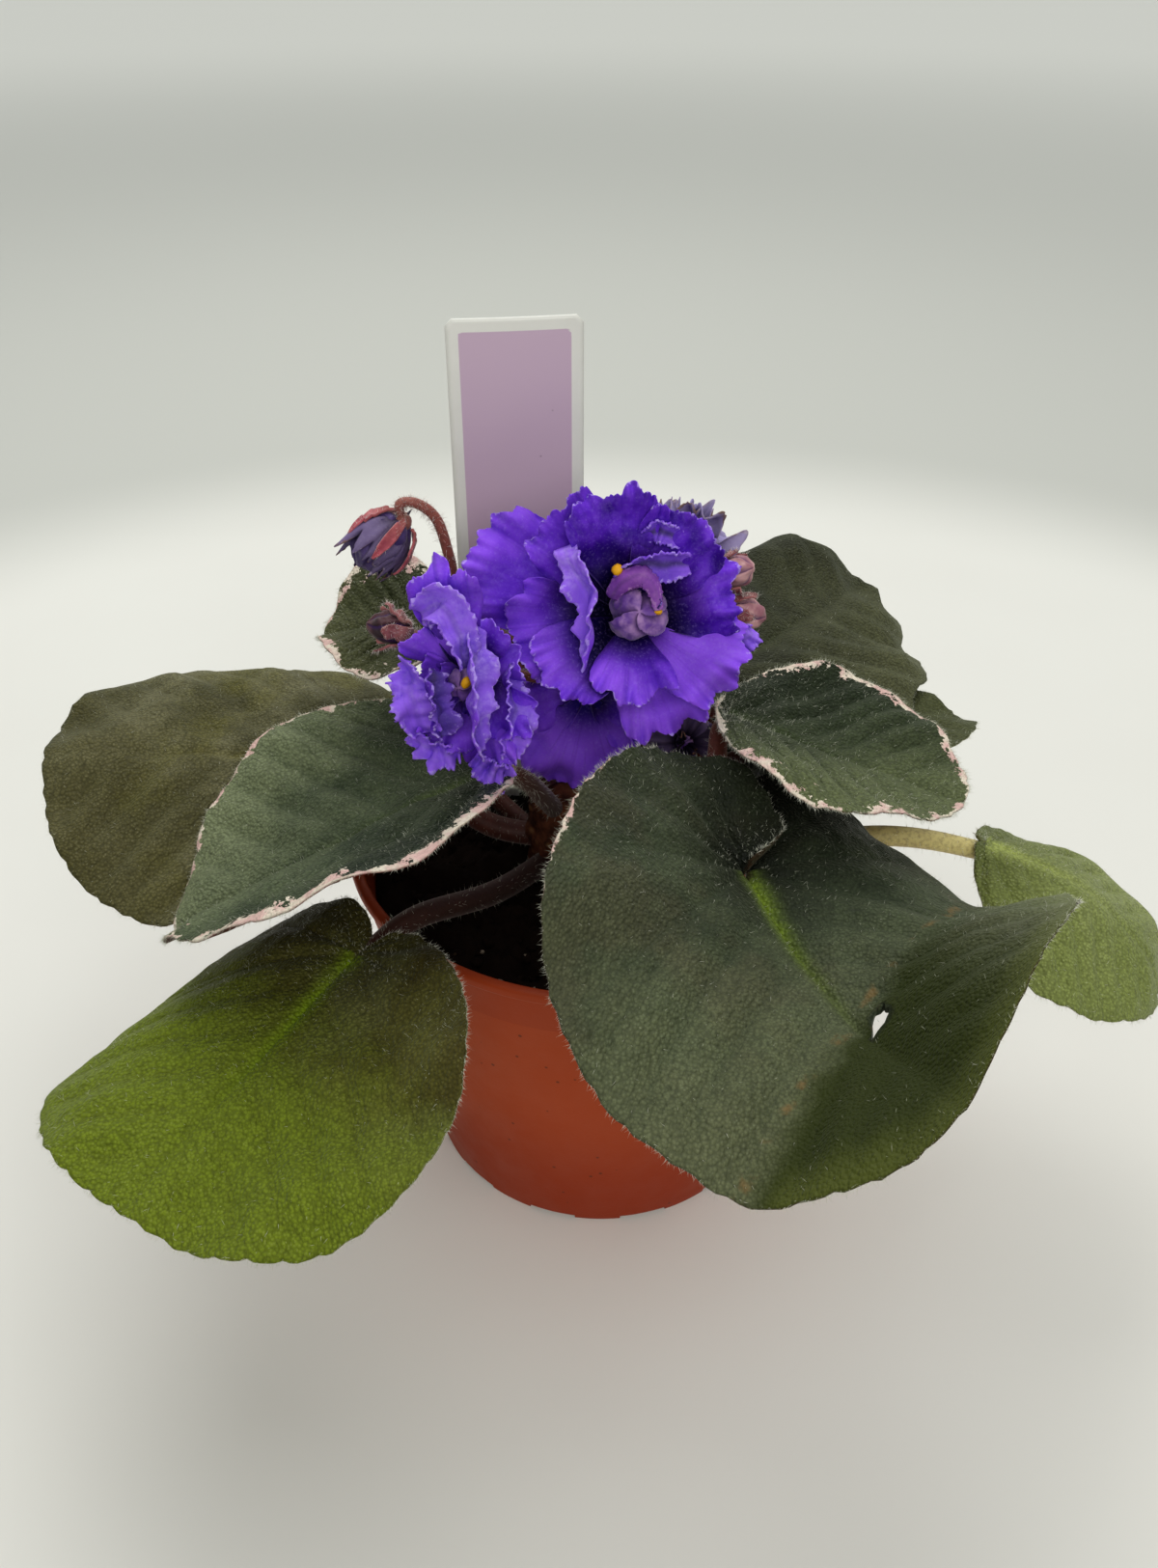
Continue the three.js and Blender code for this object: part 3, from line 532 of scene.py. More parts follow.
def wall_radius(height):
    """Outer radius of the wall, which flares evenly from the base to the rim."""
    return BASE_RADIUS + (RIM_RADIUS - LIP_WIDTH / 2 - BASE_RADIUS) / POT_HEIGHT * height


def arc(centre, radius, start, end):
    """Points on a circle in the profile's plane, between two angles in degrees."""
    turn = np.radians(np.linspace(start, end, ARC_POINTS))
    return [(centre[0] + radius * math.cos(a), centre[1] + radius * math.sin(a)) for a in turn]


def lathe_shell(profile, segments, centre=(0, 0), rough=0.0, lump=6.0, seed=1):
    """A profile of radius and height turned about the axis, with the radius changed by noise."""
    radius, height = np.asarray(profile, float).T
    turn = np.linspace(0, 2 * math.pi, segments, endpoint=False)
    ring = np.stack([np.cos(turn), np.sin(turn)], -1)
    flat = radius[:, None, None] * ring[None]
    points = np.concatenate([flat, np.broadcast_to(height[:, None, None], (*flat.shape[:2], 1))], -1)
    if rough:
        push = rough * wobble(points, lump, seed) * np.minimum(radius / lump, 1)[:, None]
        points[..., :2] += ring * push[..., None]
    points[..., :2] += centre
    facts = {"height": points[..., 2].ravel()}
    return points.reshape(-1, 3), [grid_faces(len(profile), segments, around=True)], facts


def pot_profile():
    """Radius and height from the middle of the underside, up the outside, round the lip and back down
    the inside. The wall below the collar leans in a little more, which leaves the collar's step."""
    lip_outside = arc((RIM_RADIUS - EDGE, POT_HEIGHT - EDGE), EDGE, 0, 90)
    lip_below = arc((RIM_RADIUS - EDGE, POT_HEIGHT - LIP_WIDTH + EDGE), EDGE, -60, 0)
    lip_inside = arc((RIM_RADIUS - LIP_WIDTH + EDGE, POT_HEIGHT - EDGE), EDGE, 90, 180)
    outer_wall = [(wall_radius(h) - COLLAR_STEP * h / COLLAR, h) for h in np.linspace(2, COLLAR, 12)]
    collar_heights = np.linspace(COLLAR + COLLAR_STEP, POT_HEIGHT - LIP_WIDTH, 4)
    collar = [(wall_radius(h), h) for h in collar_heights]
    inner_wall = [(wall_radius(h) - WALL, h) for h in np.linspace(COLLAR, 8, 10)]
    foot = arc((BASE_RADIUS - EDGE, EDGE), EDGE, -90, 0)
    heel = arc((BASE_RADIUS - WALL - EDGE, POT_FLOOR + EDGE), EDGE, 0, -90)
    outside = [(0, 0), (FLOOR_RING, 0), *foot, *outer_wall, *collar]
    inside = [*inner_wall, *heel, (FLOOR_RING, POT_FLOOR), (0, POT_FLOOR)]
    return [*outside, *lip_below, *lip_outside, *lip_inside, *inside]


def mould_cores():
    """Boxes for the notches between the feet, and cylinders for the drain holes, in one mesh."""
    cores = bmesh.new()
    for i in range(FEET):
        box = bmesh.ops.create_cube(cores, size=1)["verts"]
        bmesh.ops.scale(cores, verts=box, vec=Vector(NOTCH) * MM)
        bmesh.ops.translate(cores, verts=box, vec=(BASE_RADIUS * MM, 0, 0))
        turn = Matrix.Rotation(2 * math.pi * (i + 0.5) / FEET, 3, "Z")
        bmesh.ops.rotate(cores, verts=box, cent=(0, 0, 0), matrix=turn)
    for i in range(DRAINS):
        turn = 2 * math.pi * i / DRAINS
        drain = bmesh.ops.create_cone(
            cores, cap_ends=True, segments=32,
            radius1=DRAIN_RADIUS * MM, radius2=DRAIN_RADIUS * MM, depth=DRAIN_CORE * MM)
        spot = Vector((math.cos(turn), math.sin(turn), 0)) * DRAIN_RING * MM
        bmesh.ops.translate(cores, verts=drain["verts"], vec=spot)
    mesh = bpy.data.meshes.new("cores")
    cores.to_mesh(mesh)
    cores.free()
    return bpy.data.objects.new("cores", mesh)


def cut_with(piece, cutter):
    """Boolean difference, applied, with the cutter removed afterwards."""
    bpy.context.scene.collection.objects.link(cutter)
    cut = piece.modifiers.new("cut", "BOOLEAN")
    cut.operation = "DIFFERENCE"
    cut.solver = "EXACT"
    cut.object = cutter
    graph = bpy.context.evaluated_depsgraph_get()
    carved = bpy.data.meshes.new_from_object(piece.evaluated_get(graph))
    piece.modifiers.clear()
    piece.data = carved
    bpy.data.objects.remove(cutter)


# %% Pot finish
def pot_finish():
    """Terracotta-coloured plastic: cloudy, darker near the base and on the collar, with pale scuffs, a
    few dark specks and a fine grain."""
    recipe = Recipe("pot_plastic", roughness=0.5, specular=0.22)
    recipe.paint(recipe.noise(28, 3), (169, 78, 40), (155, 65, 30))
    height = recipe.attribute("height")
    recipe.cover(recipe.step(height, 6, 46, 0.75, 0), (134, 46, 17))
    recipe.cover(recipe.step(height, COLLAR - 0.2, COLLAR + 0.4, 0, 0.35), (142, 54, 26))
    scuff = recipe.noise(1.6, 4, recipe.stretch(recipe.place, (1, 1, 0.25)))
    recipe.cover(recipe.step(scuff, 0.69, 0.76, 0, 0.35), (205, 150, 124))
    recipe.cover(recipe.step(recipe.cells(5), 0.05, 0.09, 0.7, 0), (66, 34, 24))
    recipe.feed(recipe.shader.inputs["Roughness"], recipe.patches(9, 4, 0.3, 0.7, 0.42, 0.58))
    grain = recipe.bump(recipe.noise(0.7, 2), 0.05, 0.5)
    return recipe.done(recipe.bump(recipe.noise(16, 2), 0.35, 0.4, under=grain))


pot = add_piece("pot_body", [lathe_shell(pot_profile(), POT_SEGMENTS)], pot_finish(), ["pot"])
cut_with(pot, mould_cores())
pot.data.shade_smooth()
pot.data.set_sharp_from_angle(angle=SHARP_ANGLE)
print("pot", len(pot.data.polygons), "faces, rim", 2 * RIM_RADIUS, "mm across")

# %% [markdown]
# ## Soil
# Peat is a heap of fibres and crumbs, almost black when damp, with pale grains of perlite. The bulk
# is a turned body whose top is pushed up and down by noise at three sizes. Loose crumbs and the
# grains are small many-sided lumps, set on that top, because a bump alone leaves the edge straight.

# %% Soil
SOIL_TOP = 67
SOIL_HEAP = 1.4
SOIL_GAP = 0.6
CROWN_AT = (-8, -2)
CRUMBS = 420
CRUMB_SIZES = (0.35, 1.2)
SOIL_RINGS = 58
SOIL_SEGMENTS = 220
# Height and length of a lump, seed and number of waves of each noise
SOIL_LUMPS = [(0.8, 9, 31, 22), (0.5, 3.4, 32, 40), (0.3, 1.5, 33, 60)]
# Place and size of each grain
PERLITE = [
    (-18.2, -37, 0.8), (-20.8, -38.1, 0.6), (-11.8, -38.4, 0.6), (-22.4, -28.5, 0.5),
    (-14.1, -29.7, 0.5), (31, 22, 1.1), (20, 34, 0.9), (-30, 18, 1.0)]


def soil_rise(radius):
    """Height of the soil, which falls evenly from the middle to the wall."""
    return SOIL_TOP + SOIL_HEAP * (1 - radius / (RIM_RADIUS - 4))


def soil_shell():
    """A turned body just inside the wall. Each noise moves its top up and down, and the sides stay."""
    top = wall_radius(SOIL_TOP) - WALL - SOIL_GAP
    low = wall_radius(POT_FLOOR) - WALL - 3 * SOIL_GAP
    bottom = POT_FLOOR + SOIL_GAP
    radii = np.linspace(0, 1, SOIL_RINGS) ** 0.8 * top
    profile = [(r, soil_rise(r)) for r in radii]
    profile += [(top, SOIL_TOP - 4), (low + 1, POT_FLOOR + 4), (low, bottom), (0, bottom)]
    points, faces, facts = lathe_shell(profile, SOIL_SEGMENTS)
    upper = np.clip((points[:, 2] - SOIL_TOP + 3) / 3, 0, 1)
    lumps = sum(rise * wobble(points, size, seed, waves) for rise, size, seed, waves in SOIL_LUMPS)
    points[:, 2] += upper * (lumps - 0.6)
    return points, faces, facts


def ball(subdivisions):
    """Corners and triangles of an icosphere of radius 1."""
    shape = bmesh.new()
    bmesh.ops.create_icosphere(shape, subdivisions=subdivisions, radius=1)
    corners = np.array([vert.co[:] for vert in shape.verts])
    sides = np.array([[vert.index for vert in face.verts] for face in shape.faces])
    shape.free()
    return corners, sides


def lump_shell(centres, sizes, seed, roughness=0.22, subdivisions=1):
    """Small balls at the centres, each stretched and turned at random and with uneven corners."""
    draw = np.random.default_rng(seed)
    corners, sides = ball(subdivisions)
    count = len(centres)
    stretch = draw.uniform(0.6, 1.25, (count, 1, 3))
    uneven = 1 + roughness * draw.normal(size=(count, len(corners), 1))
    turn = np.linalg.qr(draw.normal(size=(count, 3, 3)))[0]
    turn[:, 0] *= np.sign(np.linalg.det(turn))[:, None]
    shaped = np.einsum("nij,nkj->nki", turn, corners * stretch * uneven)
    points = np.asarray(centres)[:, None] + shaped * np.asarray(sizes)[:, None, None]
    faces = np.arange(count)[:, None, None] * len(corners) + sides
    return points.reshape(-1, 3), [faces.reshape(-1, 3)], {}


def soil_finish():
    """Almost black peat with brown fibres and a few pale flecks."""
    recipe = Recipe("peat", roughness=0.95, specular=0.1)
    fibre = recipe.noise(2.2, 6, recipe.stretch(recipe.place, (1, 2.5, 1)), 0.7)
    recipe.paint(recipe.step(fibre, 0.35, 0.7), (20, 14, 12), (52, 37, 28))
    recipe.cover(recipe.step(recipe.cells(4.5), 0.04, 0.09, 0.5, 0), (120, 100, 80))
    return recipe.done(recipe.bump(recipe.noise(0.9, 5, roughness=0.7), 0.5, 1.0))


def perlite_finish():
    """Pale grains with a foamy skin."""
    recipe = Recipe("perlite", roughness=0.8, specular=0.2)
    recipe.paint(recipe.noise(0.6, 3), (120, 110, 96), (170, 162, 148))
    return recipe.done(recipe.bump(recipe.cells(0.4), 0.12, 0.8))


def add_soil():
    """The bulk, then crumbs spread evenly over a disc (by the root of a random share), then grains."""
    peat = soil_finish()
    add_piece("soil_bulk", [soil_shell()], peat, ["soil"])
    draw = np.random.default_rng(7)
    radius = (RIM_RADIUS - 7) * np.sqrt(draw.random(CRUMBS))
    turn = draw.uniform(0, 2 * math.pi, CRUMBS)
    centres = np.stack([radius * np.cos(turn), radius * np.sin(turn), soil_rise(radius) - 0.1], -1)
    crumbs = lump_shell(centres, draw.uniform(*CRUMB_SIZES, CRUMBS), 8)
    add_piece("soil_crumbs", [crumbs], peat, weld=False)
    x, y, size = np.array(PERLITE).T
    centres = np.stack([x, y, soil_rise(np.hypot(x, y)) + 0.3], -1)
    add_piece("soil_perlite", [lump_shell(centres, size, 9, 0.12, 2)], perlite_finish())


add_soil()

# %% [markdown]
# ## Crown
# The crown is the short woody stem from which all the petioles grow, brown and scarred where old
# leaves were taken off. It is a turned lump with noise, in a finish of brown scales.

# %% Crown
CROWN_PROFILE = [(0, 52), (3, 53), (5.2, 60), (6.6, 70), (6.8, 80), (4.8, 86), (0, 88.5)]
CROWN_RINGS = 40
CROWN_SEGMENTS = 48


def crown_finish():
    """Brown bark with paler round scars."""
    recipe = Recipe("crown_bark", roughness=0.8, specular=0.15)
    recipe.paint(recipe.patches(3, 5, 0.35, 0.65), (58, 32, 24), (108, 66, 46))
    scar = recipe.step(recipe.cells(3.5), 0.1, 0.3, 1, 0)
    recipe.cover(recipe.times(scar, 0.6), (140, 108, 74))
    return recipe.done(recipe.bump(recipe.noise(1.2, 4), 0.5, 0.9))


crown_course = smooth_path([(r, h, 0) for r, h in CROWN_PROFILE], CROWN_RINGS)[:, :2]
crown_course[:, 0] = np.maximum(crown_course[:, 0], 0)
crown_shell = lathe_shell(crown_course, CROWN_SEGMENTS, CROWN_AT, rough=0.35, lump=4, seed=3)
add_piece("crown_stem", [crown_shell], crown_finish(), ["crown"])

# %% [markdown]
# ## Plant label
# The label is a strip of stiff white plastic, die-cut with small corners and a pointed foot, with a
# printed lilac panel inside a white border. A grid that follows the outline carries each point's
# distance from the outline, and the finish turns that distance into border and print.

# %% Plant label
LABEL_WIDTH = 25
LABEL_THICKNESS = 0.8
LABEL_TOP = 170.5
LABEL_CORNER = 1.2
LABEL_SHOULDER = 62
LABEL_POINT = 44
LABEL_AT = (-16.8, 25)
LABEL_YAW = 9
LABEL_BORDER = 2.3
LABEL_PRINT_END = 78
LABEL_BOW = 0.5
LABEL_GRID = (20, 180, 24)


def label_shell():
    """Half width at a height: full above the shoulder, narrowing to the point below it and by the
    corner at the top. The face bows by the square of the way to its edge."""
    foot_rows, rows, cols = LABEL_GRID
    foot = np.linspace(LABEL_POINT, LABEL_SHOULDER, foot_rows)
    height = np.concatenate([foot, np.linspace(LABEL_SHOULDER, LABEL_TOP, rows)[1:]])
    half = np.interp(height, [LABEL_POINT, LABEL_SHOULDER], [0.05, LABEL_WIDTH / 2])
    corner = LABEL_CORNER * np.clip(1 - (LABEL_TOP - height) / LABEL_CORNER, 0, 1)
    half = np.minimum(half, LABEL_WIDTH / 2 - corner)
    across = np.linspace(-1, 1, cols)[None, :] * half[:, None]
    tall = np.broadcast_to(height[:, None], across.shape)
    bow = LABEL_BOW * (across / (LABEL_WIDTH / 2)) ** 2
    yaw = math.radians(LABEL_YAW)
    middle = np.stack([
        LABEL_AT[0] + across * math.cos(yaw) - bow * math.sin(yaw),
        LABEL_AT[1] + across * math.sin(yaw) + bow * math.cos(yaw),
        tall], -1)
    inset = np.minimum(LABEL_WIDTH / 2 - np.abs(across), LABEL_TOP - tall)
    inset = np.minimum(inset, tall - LABEL_PRINT_END)
    thickness = np.full(across.shape, float(LABEL_THICKNESS))
    return sheet_shell(middle, thickness, inset=inset)


def label_finish():
    """White plastic, printed lilac where the distance to the outline passes the border's width."""
    recipe = Recipe("label_print", roughness=0.38, specular=0.45)
    print_area = recipe.step(recipe.attribute("inset"), LABEL_BORDER - 0.08, LABEL_BORDER + 0.08)
    lilac = recipe.mix(recipe.noise(40, 2), (190, 168, 188), (198, 175, 193))
    white = recipe.mix(recipe.noise(6, 4), (214, 214, 208), (224, 224, 218))
    recipe.paint(print_area, white, lilac)
    mark = recipe.step(recipe.cells(7), 0.02, 0.05, 0.5, 0)
    recipe.cover(mark, (120, 100, 110))
    return recipe.done(recipe.bump(recipe.noise(1.5, 2), 0.03, 0.3))


add_piece("label_plate", [label_shell()], label_finish(), ["label"])

# %% [markdown]
# ## Leaves
# A leaf of this plant is a heart-shaped blade on a round petiole that arches out of the crown and
# runs on under the midrib. The blade is modelled flat first, in polar coordinates about the
# junction of blade and petiole, and then bent: the midrib follows a curve in space, each half folds
# up from it and curls towards its margin. The same numbers give the CAD solids, so blade and solid
# agree, and this version adds what is fine: scalloped margin, domes between the veins, thin edges.

# %% Leaf sizes
# Angles are in degrees. heading and pitch are the midrib's direction at the junction, and over its
# length it changes by swing and droop, and by flick in the outer half. fold is the rise of the left
# and right half at base and tip, curl how far each half bends, roll and twist turn the blade. bays
# is how much its margin runs in and out, and relief how much its domes differ from the usual height.
# lobe_ends are the angles from the midrib at which its right and left lobes end. level is where the
# petiole leaves the crown, via what it passes, and radius its own. LEAF holds what most leaves share.
LEAF = dict(side=1, notch=0.55, flick=0, roll=0, crease=None, lobe_ends=(171, 171), bays=0, relief=1)
LEAVES = [
    dict(LEAF, name="front_right", slot="leaf_dark", junction=(24, -40.5, 97), length=66, width=93, lobe=25,
         side=0.99, tip=0.08, notch=0.5, heading=-69, pitch=-13, swing=8, droop=26, flick=-13, roll=-3,
         twist=21, fold_left=(9, 23), fold_right=(35, 11), curl=(-55, -10), crease=(34.3, 30, 33),
         lobe_ends=(250, 168), wave=0.5, waves=7, level=74, radius=2.7, via=[(0, -15, 91), (13, -30, 98.5)]),
    dict(LEAF, name="front_left", slot="leaf_green", junction=(-42.5, -43.5, 80), length=58, width=83, lobe=9,
         side=1.06, tip=-0.04, notch=0.77, heading=-126, pitch=-15, swing=4, droop=5, flick=-5, roll=-2,
         twist=-7, fold_left=(14, 4), fold_right=(5, 13), curl=(14, -73),
         wave=0.8, waves=5, level=72, radius=2.3, via=[(-20, -18, 74), (-34, -33, 79.5)], relief=0.7),
    dict(LEAF, name="left_mid", slot="leaf_dark", junction=(-18.5, -19, 103), length=64, width=70, lobe=3,
         side=1.05, tip=0.04, heading=-166, pitch=-17.5, swing=1, droop=-12, flick=-2, roll=11,
         twist=-1, fold_left=(6, 20), fold_right=(5, 18), curl=(2, 16),
         wave=0.7, waves=6, level=80, radius=1.9, via=[(-11.5, -11.5, 92), (-14.4, -16.4, 99)], relief=1.5),
    dict(LEAF, name="left_back", slot="leaf_olive", junction=(-44.5, 5.5, 84), length=71, width=78, lobe=3,
         side=1.07, tip=-0.03, heading=174, pitch=9.5, swing=15, droop=-11, roll=-3,
         twist=-9, fold_left=(-6, -13), fold_right=(24, 2), curl=(-9, -48),
         wave=0.6, waves=6, level=75, radius=2.4, via=[(-22, -1, 77), (-34, 3, 82.5)], relief=1.5),
    dict(LEAF, name="back_left_inner", slot="leaf_dark", junction=(-34.5, 9, 116), length=19, width=34,
         lobe=5, side=1.01, tip=0.08, heading=177, pitch=13, swing=2, droop=-29, flick=-6, roll=-12,
         twist=4, fold_left=(11, 11), fold_right=(18, 7), curl=(-9, 1),
         wave=0.7, waves=5, level=83, radius=1.7, via=[(-17, 3, 95), (-27, 7, 109)]),
    dict(LEAF, name="right_mid", slot="leaf_dark", junction=(23, -3.5, 105), length=43, width=55, lobe=3,
         side=1.01, tip=0.07, notch=0.3, heading=-19, pitch=-11, swing=-4, droop=2, flick=10, roll=-14,
         twist=1, fold_left=(14, 10), fold_right=(22, 8), curl=(11, -26),
         wave=0.8, waves=6, level=83.5, radius=2, via=[(5, -8, 89), (19.5, -11.5, 97)]),
    dict(LEAF, name="back_right", slot="leaf_olive", junction=(23, 25.5, 97), length=68, width=67, lobe=20,
         side=1.01, tip=0.08, heading=51, pitch=0, swing=7, droop=-10, roll=6,
         twist=16, fold_left=(-4, 21), fold_right=(15, 1), curl=(-37, -20),
         wave=1.6, waves=8, level=83, radius=2.2, via=[(4, 9, 88), (14, 18, 94)], bays=1.3, relief=1.5),
    dict(LEAF, name="right_far", slot="leaf_olive", junction=(35.5, 17, 85.4), length=46, width=52, lobe=16,
         tip=-0.02, heading=24, pitch=7, swing=3, droop=-22, flick=16, roll=-5,
         twist=-3, fold_left=(0, 2), fold_right=(8, 14), curl=(-26, -4),
         wave=0.8, waves=5, level=76, radius=2.2, via=[(11, 7, 78), (25, 13, 83.5)]),
    dict(LEAF, name="right_low", slot="leaf_green", junction=(75, -8, 79.5), length=46, width=54, lobe=2,
         tip=0.07, heading=-16, pitch=-7, swing=-11, droop=-50, flick=-6, roll=5,
         twist=-5, fold_left=(-22, 2), fold_right=(-5, 2), curl=(-30, -24),
         wave=0.5, waves=5, level=71, radius=2.2, via=[(20, -5, 74), (54, -8, 81)]),
    dict(LEAF, name="back", slot="leaf_olive", junction=(6, 36, 82), length=46, width=50, lobe=6,
         tip=0.06, notch=0.5, heading=98, pitch=-2, swing=4, droop=-28,
         twist=4, fold_left=(8, 6), fold_right=(8, 6), curl=(-20, -20),
         wave=0.9, waves=6, level=73, radius=2, via=[(-2, 14, 76), (2, 26, 80)]),
    dict(LEAF, name="back_left_low", slot="leaf_olive", junction=(-41, 24, 81), length=42, width=46, lobe=6,
         tip=0.06, notch=0.5, heading=150, pitch=-8, swing=-4, droop=-30,
         twist=-4, fold_left=(8, 6), fold_right=(8, 6), curl=(-20, -20),
         wave=0.9, waves=6, level=70, radius=2, via=[(-20, 8, 75), (-30, 16, 80.5)]),
]
longest = max(leaf["length"] for leaf in LEAVES)
print(len(LEAVES), "leaves, the longest", longest, "mm from junction to tip")

# %% Flat blade
TIP_WIDTH = 0.3
SINUS_WIDTH = 0.42
LAP_NOTCH = 0.72
LOBE_ROUND = 0.2
MARGIN_STEPS = 4001


def lobe_ends(leaf, angle):
    """Where the right or left half ends, measured from the midrib: past 180 degrees a lobe laps over."""
    right, left = leaf["lobe_ends"]
    return np.radians(np.where(angle >= 0, left, right))


def margin_ray(leaf, angle):
    """Distance from junction to margin at an angle from the midrib: an ellipse seen from a point on
    its axis, drawn out at the tip, cut in at the sinus, and closed round at the end of each lobe."""
    half = leaf["width"] / 2 * np.where(angle >= 0, 1, leaf["side"])
    long = (leaf["length"] + leaf["lobe"]) / 2
    centre = (leaf["length"] - leaf["lobe"]) / 2
    a = (np.cos(angle) / long) ** 2 + (np.sin(angle) / half) ** 2
    b = -2 * np.cos(angle) * centre / long**2
    c = (centre / long) ** 2 - 1
    ray = (-b + np.sqrt(b * b - 4 * a * c)) / (2 * a)
    drawn_out = 1 + leaf["tip"] * np.exp(-((angle / TIP_WIDTH) ** 2))
    end = lobe_ends(leaf, angle)
    laps = end > math.pi
    sinus = (np.maximum(end, math.pi) - np.abs(angle)) / np.where(laps, 2 * SINUS_WIDTH, SINUS_WIDTH)
    cut_in = 1 - np.where(laps, LAP_NOTCH, leaf["notch"]) * np.exp(-(sinus**2))
    left_over = np.clip((end - np.abs(angle)) / LOBE_ROUND, 0, 1)
    return ray * drawn_out * cut_in * np.sqrt(1 - (1 - left_over) ** 2)


def even_angles(leaf, count):
    """Angles at which the margin is cut in equal lengths, with the running length at each, in mm."""
    right, left = leaf["lobe_ends"]
    angle = np.radians(np.linspace(-right, left, MARGIN_STEPS))
    ray = margin_ray(leaf, angle)
    spot = np.stack([ray * np.cos(angle), ray * np.sin(angle)], -1)
    run = np.concatenate([[0], np.cumsum(np.linalg.norm(np.diff(spot, axis=0), axis=1))])
    even = np.linspace(0, run[-1], count)
    return np.interp(even, run, angle), even


# %% Bent blade
CREASE_RADIUS = 3
CREASE_SOFT = 9
CREASE_SHARP_AT = 14
CREASE_HALF_LENGTH = 34
LAP_LIFT = 4.5
NOWHERE = -99
# Where the midrib starts and ends, as shares of the length, and the number of its points
RIB_RUN = (-0.8, 1.4, 441)


def lerp(ends, share):
    """A value that goes evenly from the first to the second as the share goes from 0 to 1."""
    return ends[0] + (ends[1] - ends[0]) * share


def rib_frames(leaf, along):
    """Place, left and up direction of the midrib. Its slope and turn change evenly with the share u
    of the length, and its place is the running sum of its direction."""
    length = leaf["length"]
    run = np.linspace(*RIB_RUN) * length
    u = np.maximum(run / length, -0.2)
    rise = np.radians(leaf["pitch"] + leaf["droop"] * u + leaf["flick"] * np.clip(u - 0.5, 0, 1))
    turn = np.radians(leaf["heading"] + leaf["swing"] * u)
    tangent = np.stack([np.cos(rise) * np.cos(turn), np.cos(rise) * np.sin(turn), np.sin(rise)], -1)
    level = np.stack([-np.sin(turn), np.cos(turn), 0 * turn], -1)
    course = np.cumsum(tangent, 0) * (run[1] - run[0])
    course -= course[np.argmin(np.abs(run))]

    def pick(table):
        return np.stack([np.interp(along, run, table[:, k]) for k in range(3)], -1)

    tangent, level = unit(pick(tangent)), unit(pick(level))
    roll = np.radians(leaf["roll"] + leaf["twist"] * np.clip(along / length, -0.3, 1.2))[..., None]
    upright = np.cross(tangent, level)
    left = level * np.cos(roll) + upright * np.sin(roll)
    return pick(course) + np.array(leaf["junction"]), left, np.cross(tangent, left)


def past_crease(leaf, along, across):
    """Distance beyond the crease line, which is negative before it."""
    if not leaf["crease"]:
        return 0 * along + NOWHERE
    start, turn, _ = leaf["crease"]
    return (along - start) * math.cos(math.radians(turn)) + across * math.sin(math.radians(turn))


def creased(leaf, along, across):
    """Beyond the crease line the blade turns up: the part past the line is wound on an arc and then
    goes on straight. The arc is tight beside the midrib and wider to both ends of the line."""
    if not leaf["crease"]:
        return along, across, 0
    _, turn, angle = leaf["crease"]
    normal = np.array([math.cos(math.radians(turn)), math.sin(math.radians(turn))])
    angle = math.radians(angle)
    beyond = np.maximum(past_crease(leaf, along, across), 0)
    from_sharp = np.clip(np.abs(across - CREASE_SHARP_AT) / CREASE_HALF_LENGTH, 0, 1)
    radius = CREASE_RADIUS + CREASE_SOFT * from_sharp**1.5
    wound = np.minimum(beyond / radius, angle)
    rest = np.maximum(beyond - radius * angle, 0)
    kept = radius * np.sin(wound) + rest * math.cos(angle)
    lift = radius * (1 - np.cos(wound)) + rest * math.sin(angle)
    return along - (beyond - kept) * normal[0], across - (beyond - kept) * normal[1], lift


def bent_blade(leaf, flat_along, flat_across, relief):
    """Each half leaves the midrib at its fold angle and bends at an even rate: with bend k, the way
    out is (sin(fold + k x) - sin(fold)) / k and the rise (cos(fold) - cos(fold + k x)) / k."""
    along, across, lift = creased(leaf, flat_along, flat_across)
    place, left, up = rib_frames(leaf, along)
    share = np.clip(along / leaf["length"], 0, 1)
    is_left = across >= 0
    folds = lerp(leaf["fold_left"], share), lerp(leaf["fold_right"], share)
    fold = np.radians(np.where(is_left, *folds))
    bend = np.radians(np.where(is_left, *leaf["curl"])) / (leaf["width"] / 2)
    far = np.abs(across)
    out = np.sign(across) * (np.sin(fold + bend * far) - np.sin(fold)) / bend
    high = (np.cos(fold) - np.cos(fold + bend * far)) / bend + lift + relief
    return place + left * out[..., None] + up * high[..., None]


# %% Veins and relief
VEIN_LEAN = 0.62
VEIN_BEND = 0.004
VEINS = 6.5
LOBE_VEIN_STEP = math.radians(31)
SCALLOP_LENGTH = 5.2
SCALLOP_DEPTH = 0.55
DOME = 0.42
GROOVE = 0.3
GROOVE_WIDTH = 0.55
RIB_GROOVE = 1.6
RIB_GROOVE_WIDTH = 1.1
RIB_WIDTH = 2.2
BAY_LENGTH = 14
FLUTTER = 0.35
FLUTTER_RATE = 3.3
SWELL = 0.7
SWELL_LENGTH = 24
GRAIN = 0.1
GRAIN_LENGTH = 5
# HOLLOW_REACH is how far the painted shade at the junction reaches.
HOLLOW_REACH = 13
MARGIN_THICKNESS = 0.35
BLADE_THICKNESS = 0.9


def vein_pattern(leaf, along, across):
    """Side veins leave the midrib at even steps and lean to the tip, those of the lobes leave the
    junction like the fingers of a hand. Gives the phase between two veins and the distance to one."""
    far = np.abs(across)
    across_veins = along - VEIN_LEAN * far - VEIN_BEND * far**2
    spacing = leaf["length"] / VEINS
    side_phase = across_veins / spacing
    hand = np.arctan2(far, along)
    hand_phase = (hand - math.atan2(1, VEIN_LEAN)) / LOBE_VEIN_STEP
    in_lobe = across_veins < 0
    phase = np.where(in_lobe, hand_phase, side_phase)
    off = np.abs(phase - np.round(phase))
    gap = np.where(in_lobe, np.hypot(along, across) * LOBE_VEIN_STEP, spacing * 0.85)
    along_veins = far + VEIN_LEAN * along
    return phase, off * gap, across_veins, along_veins


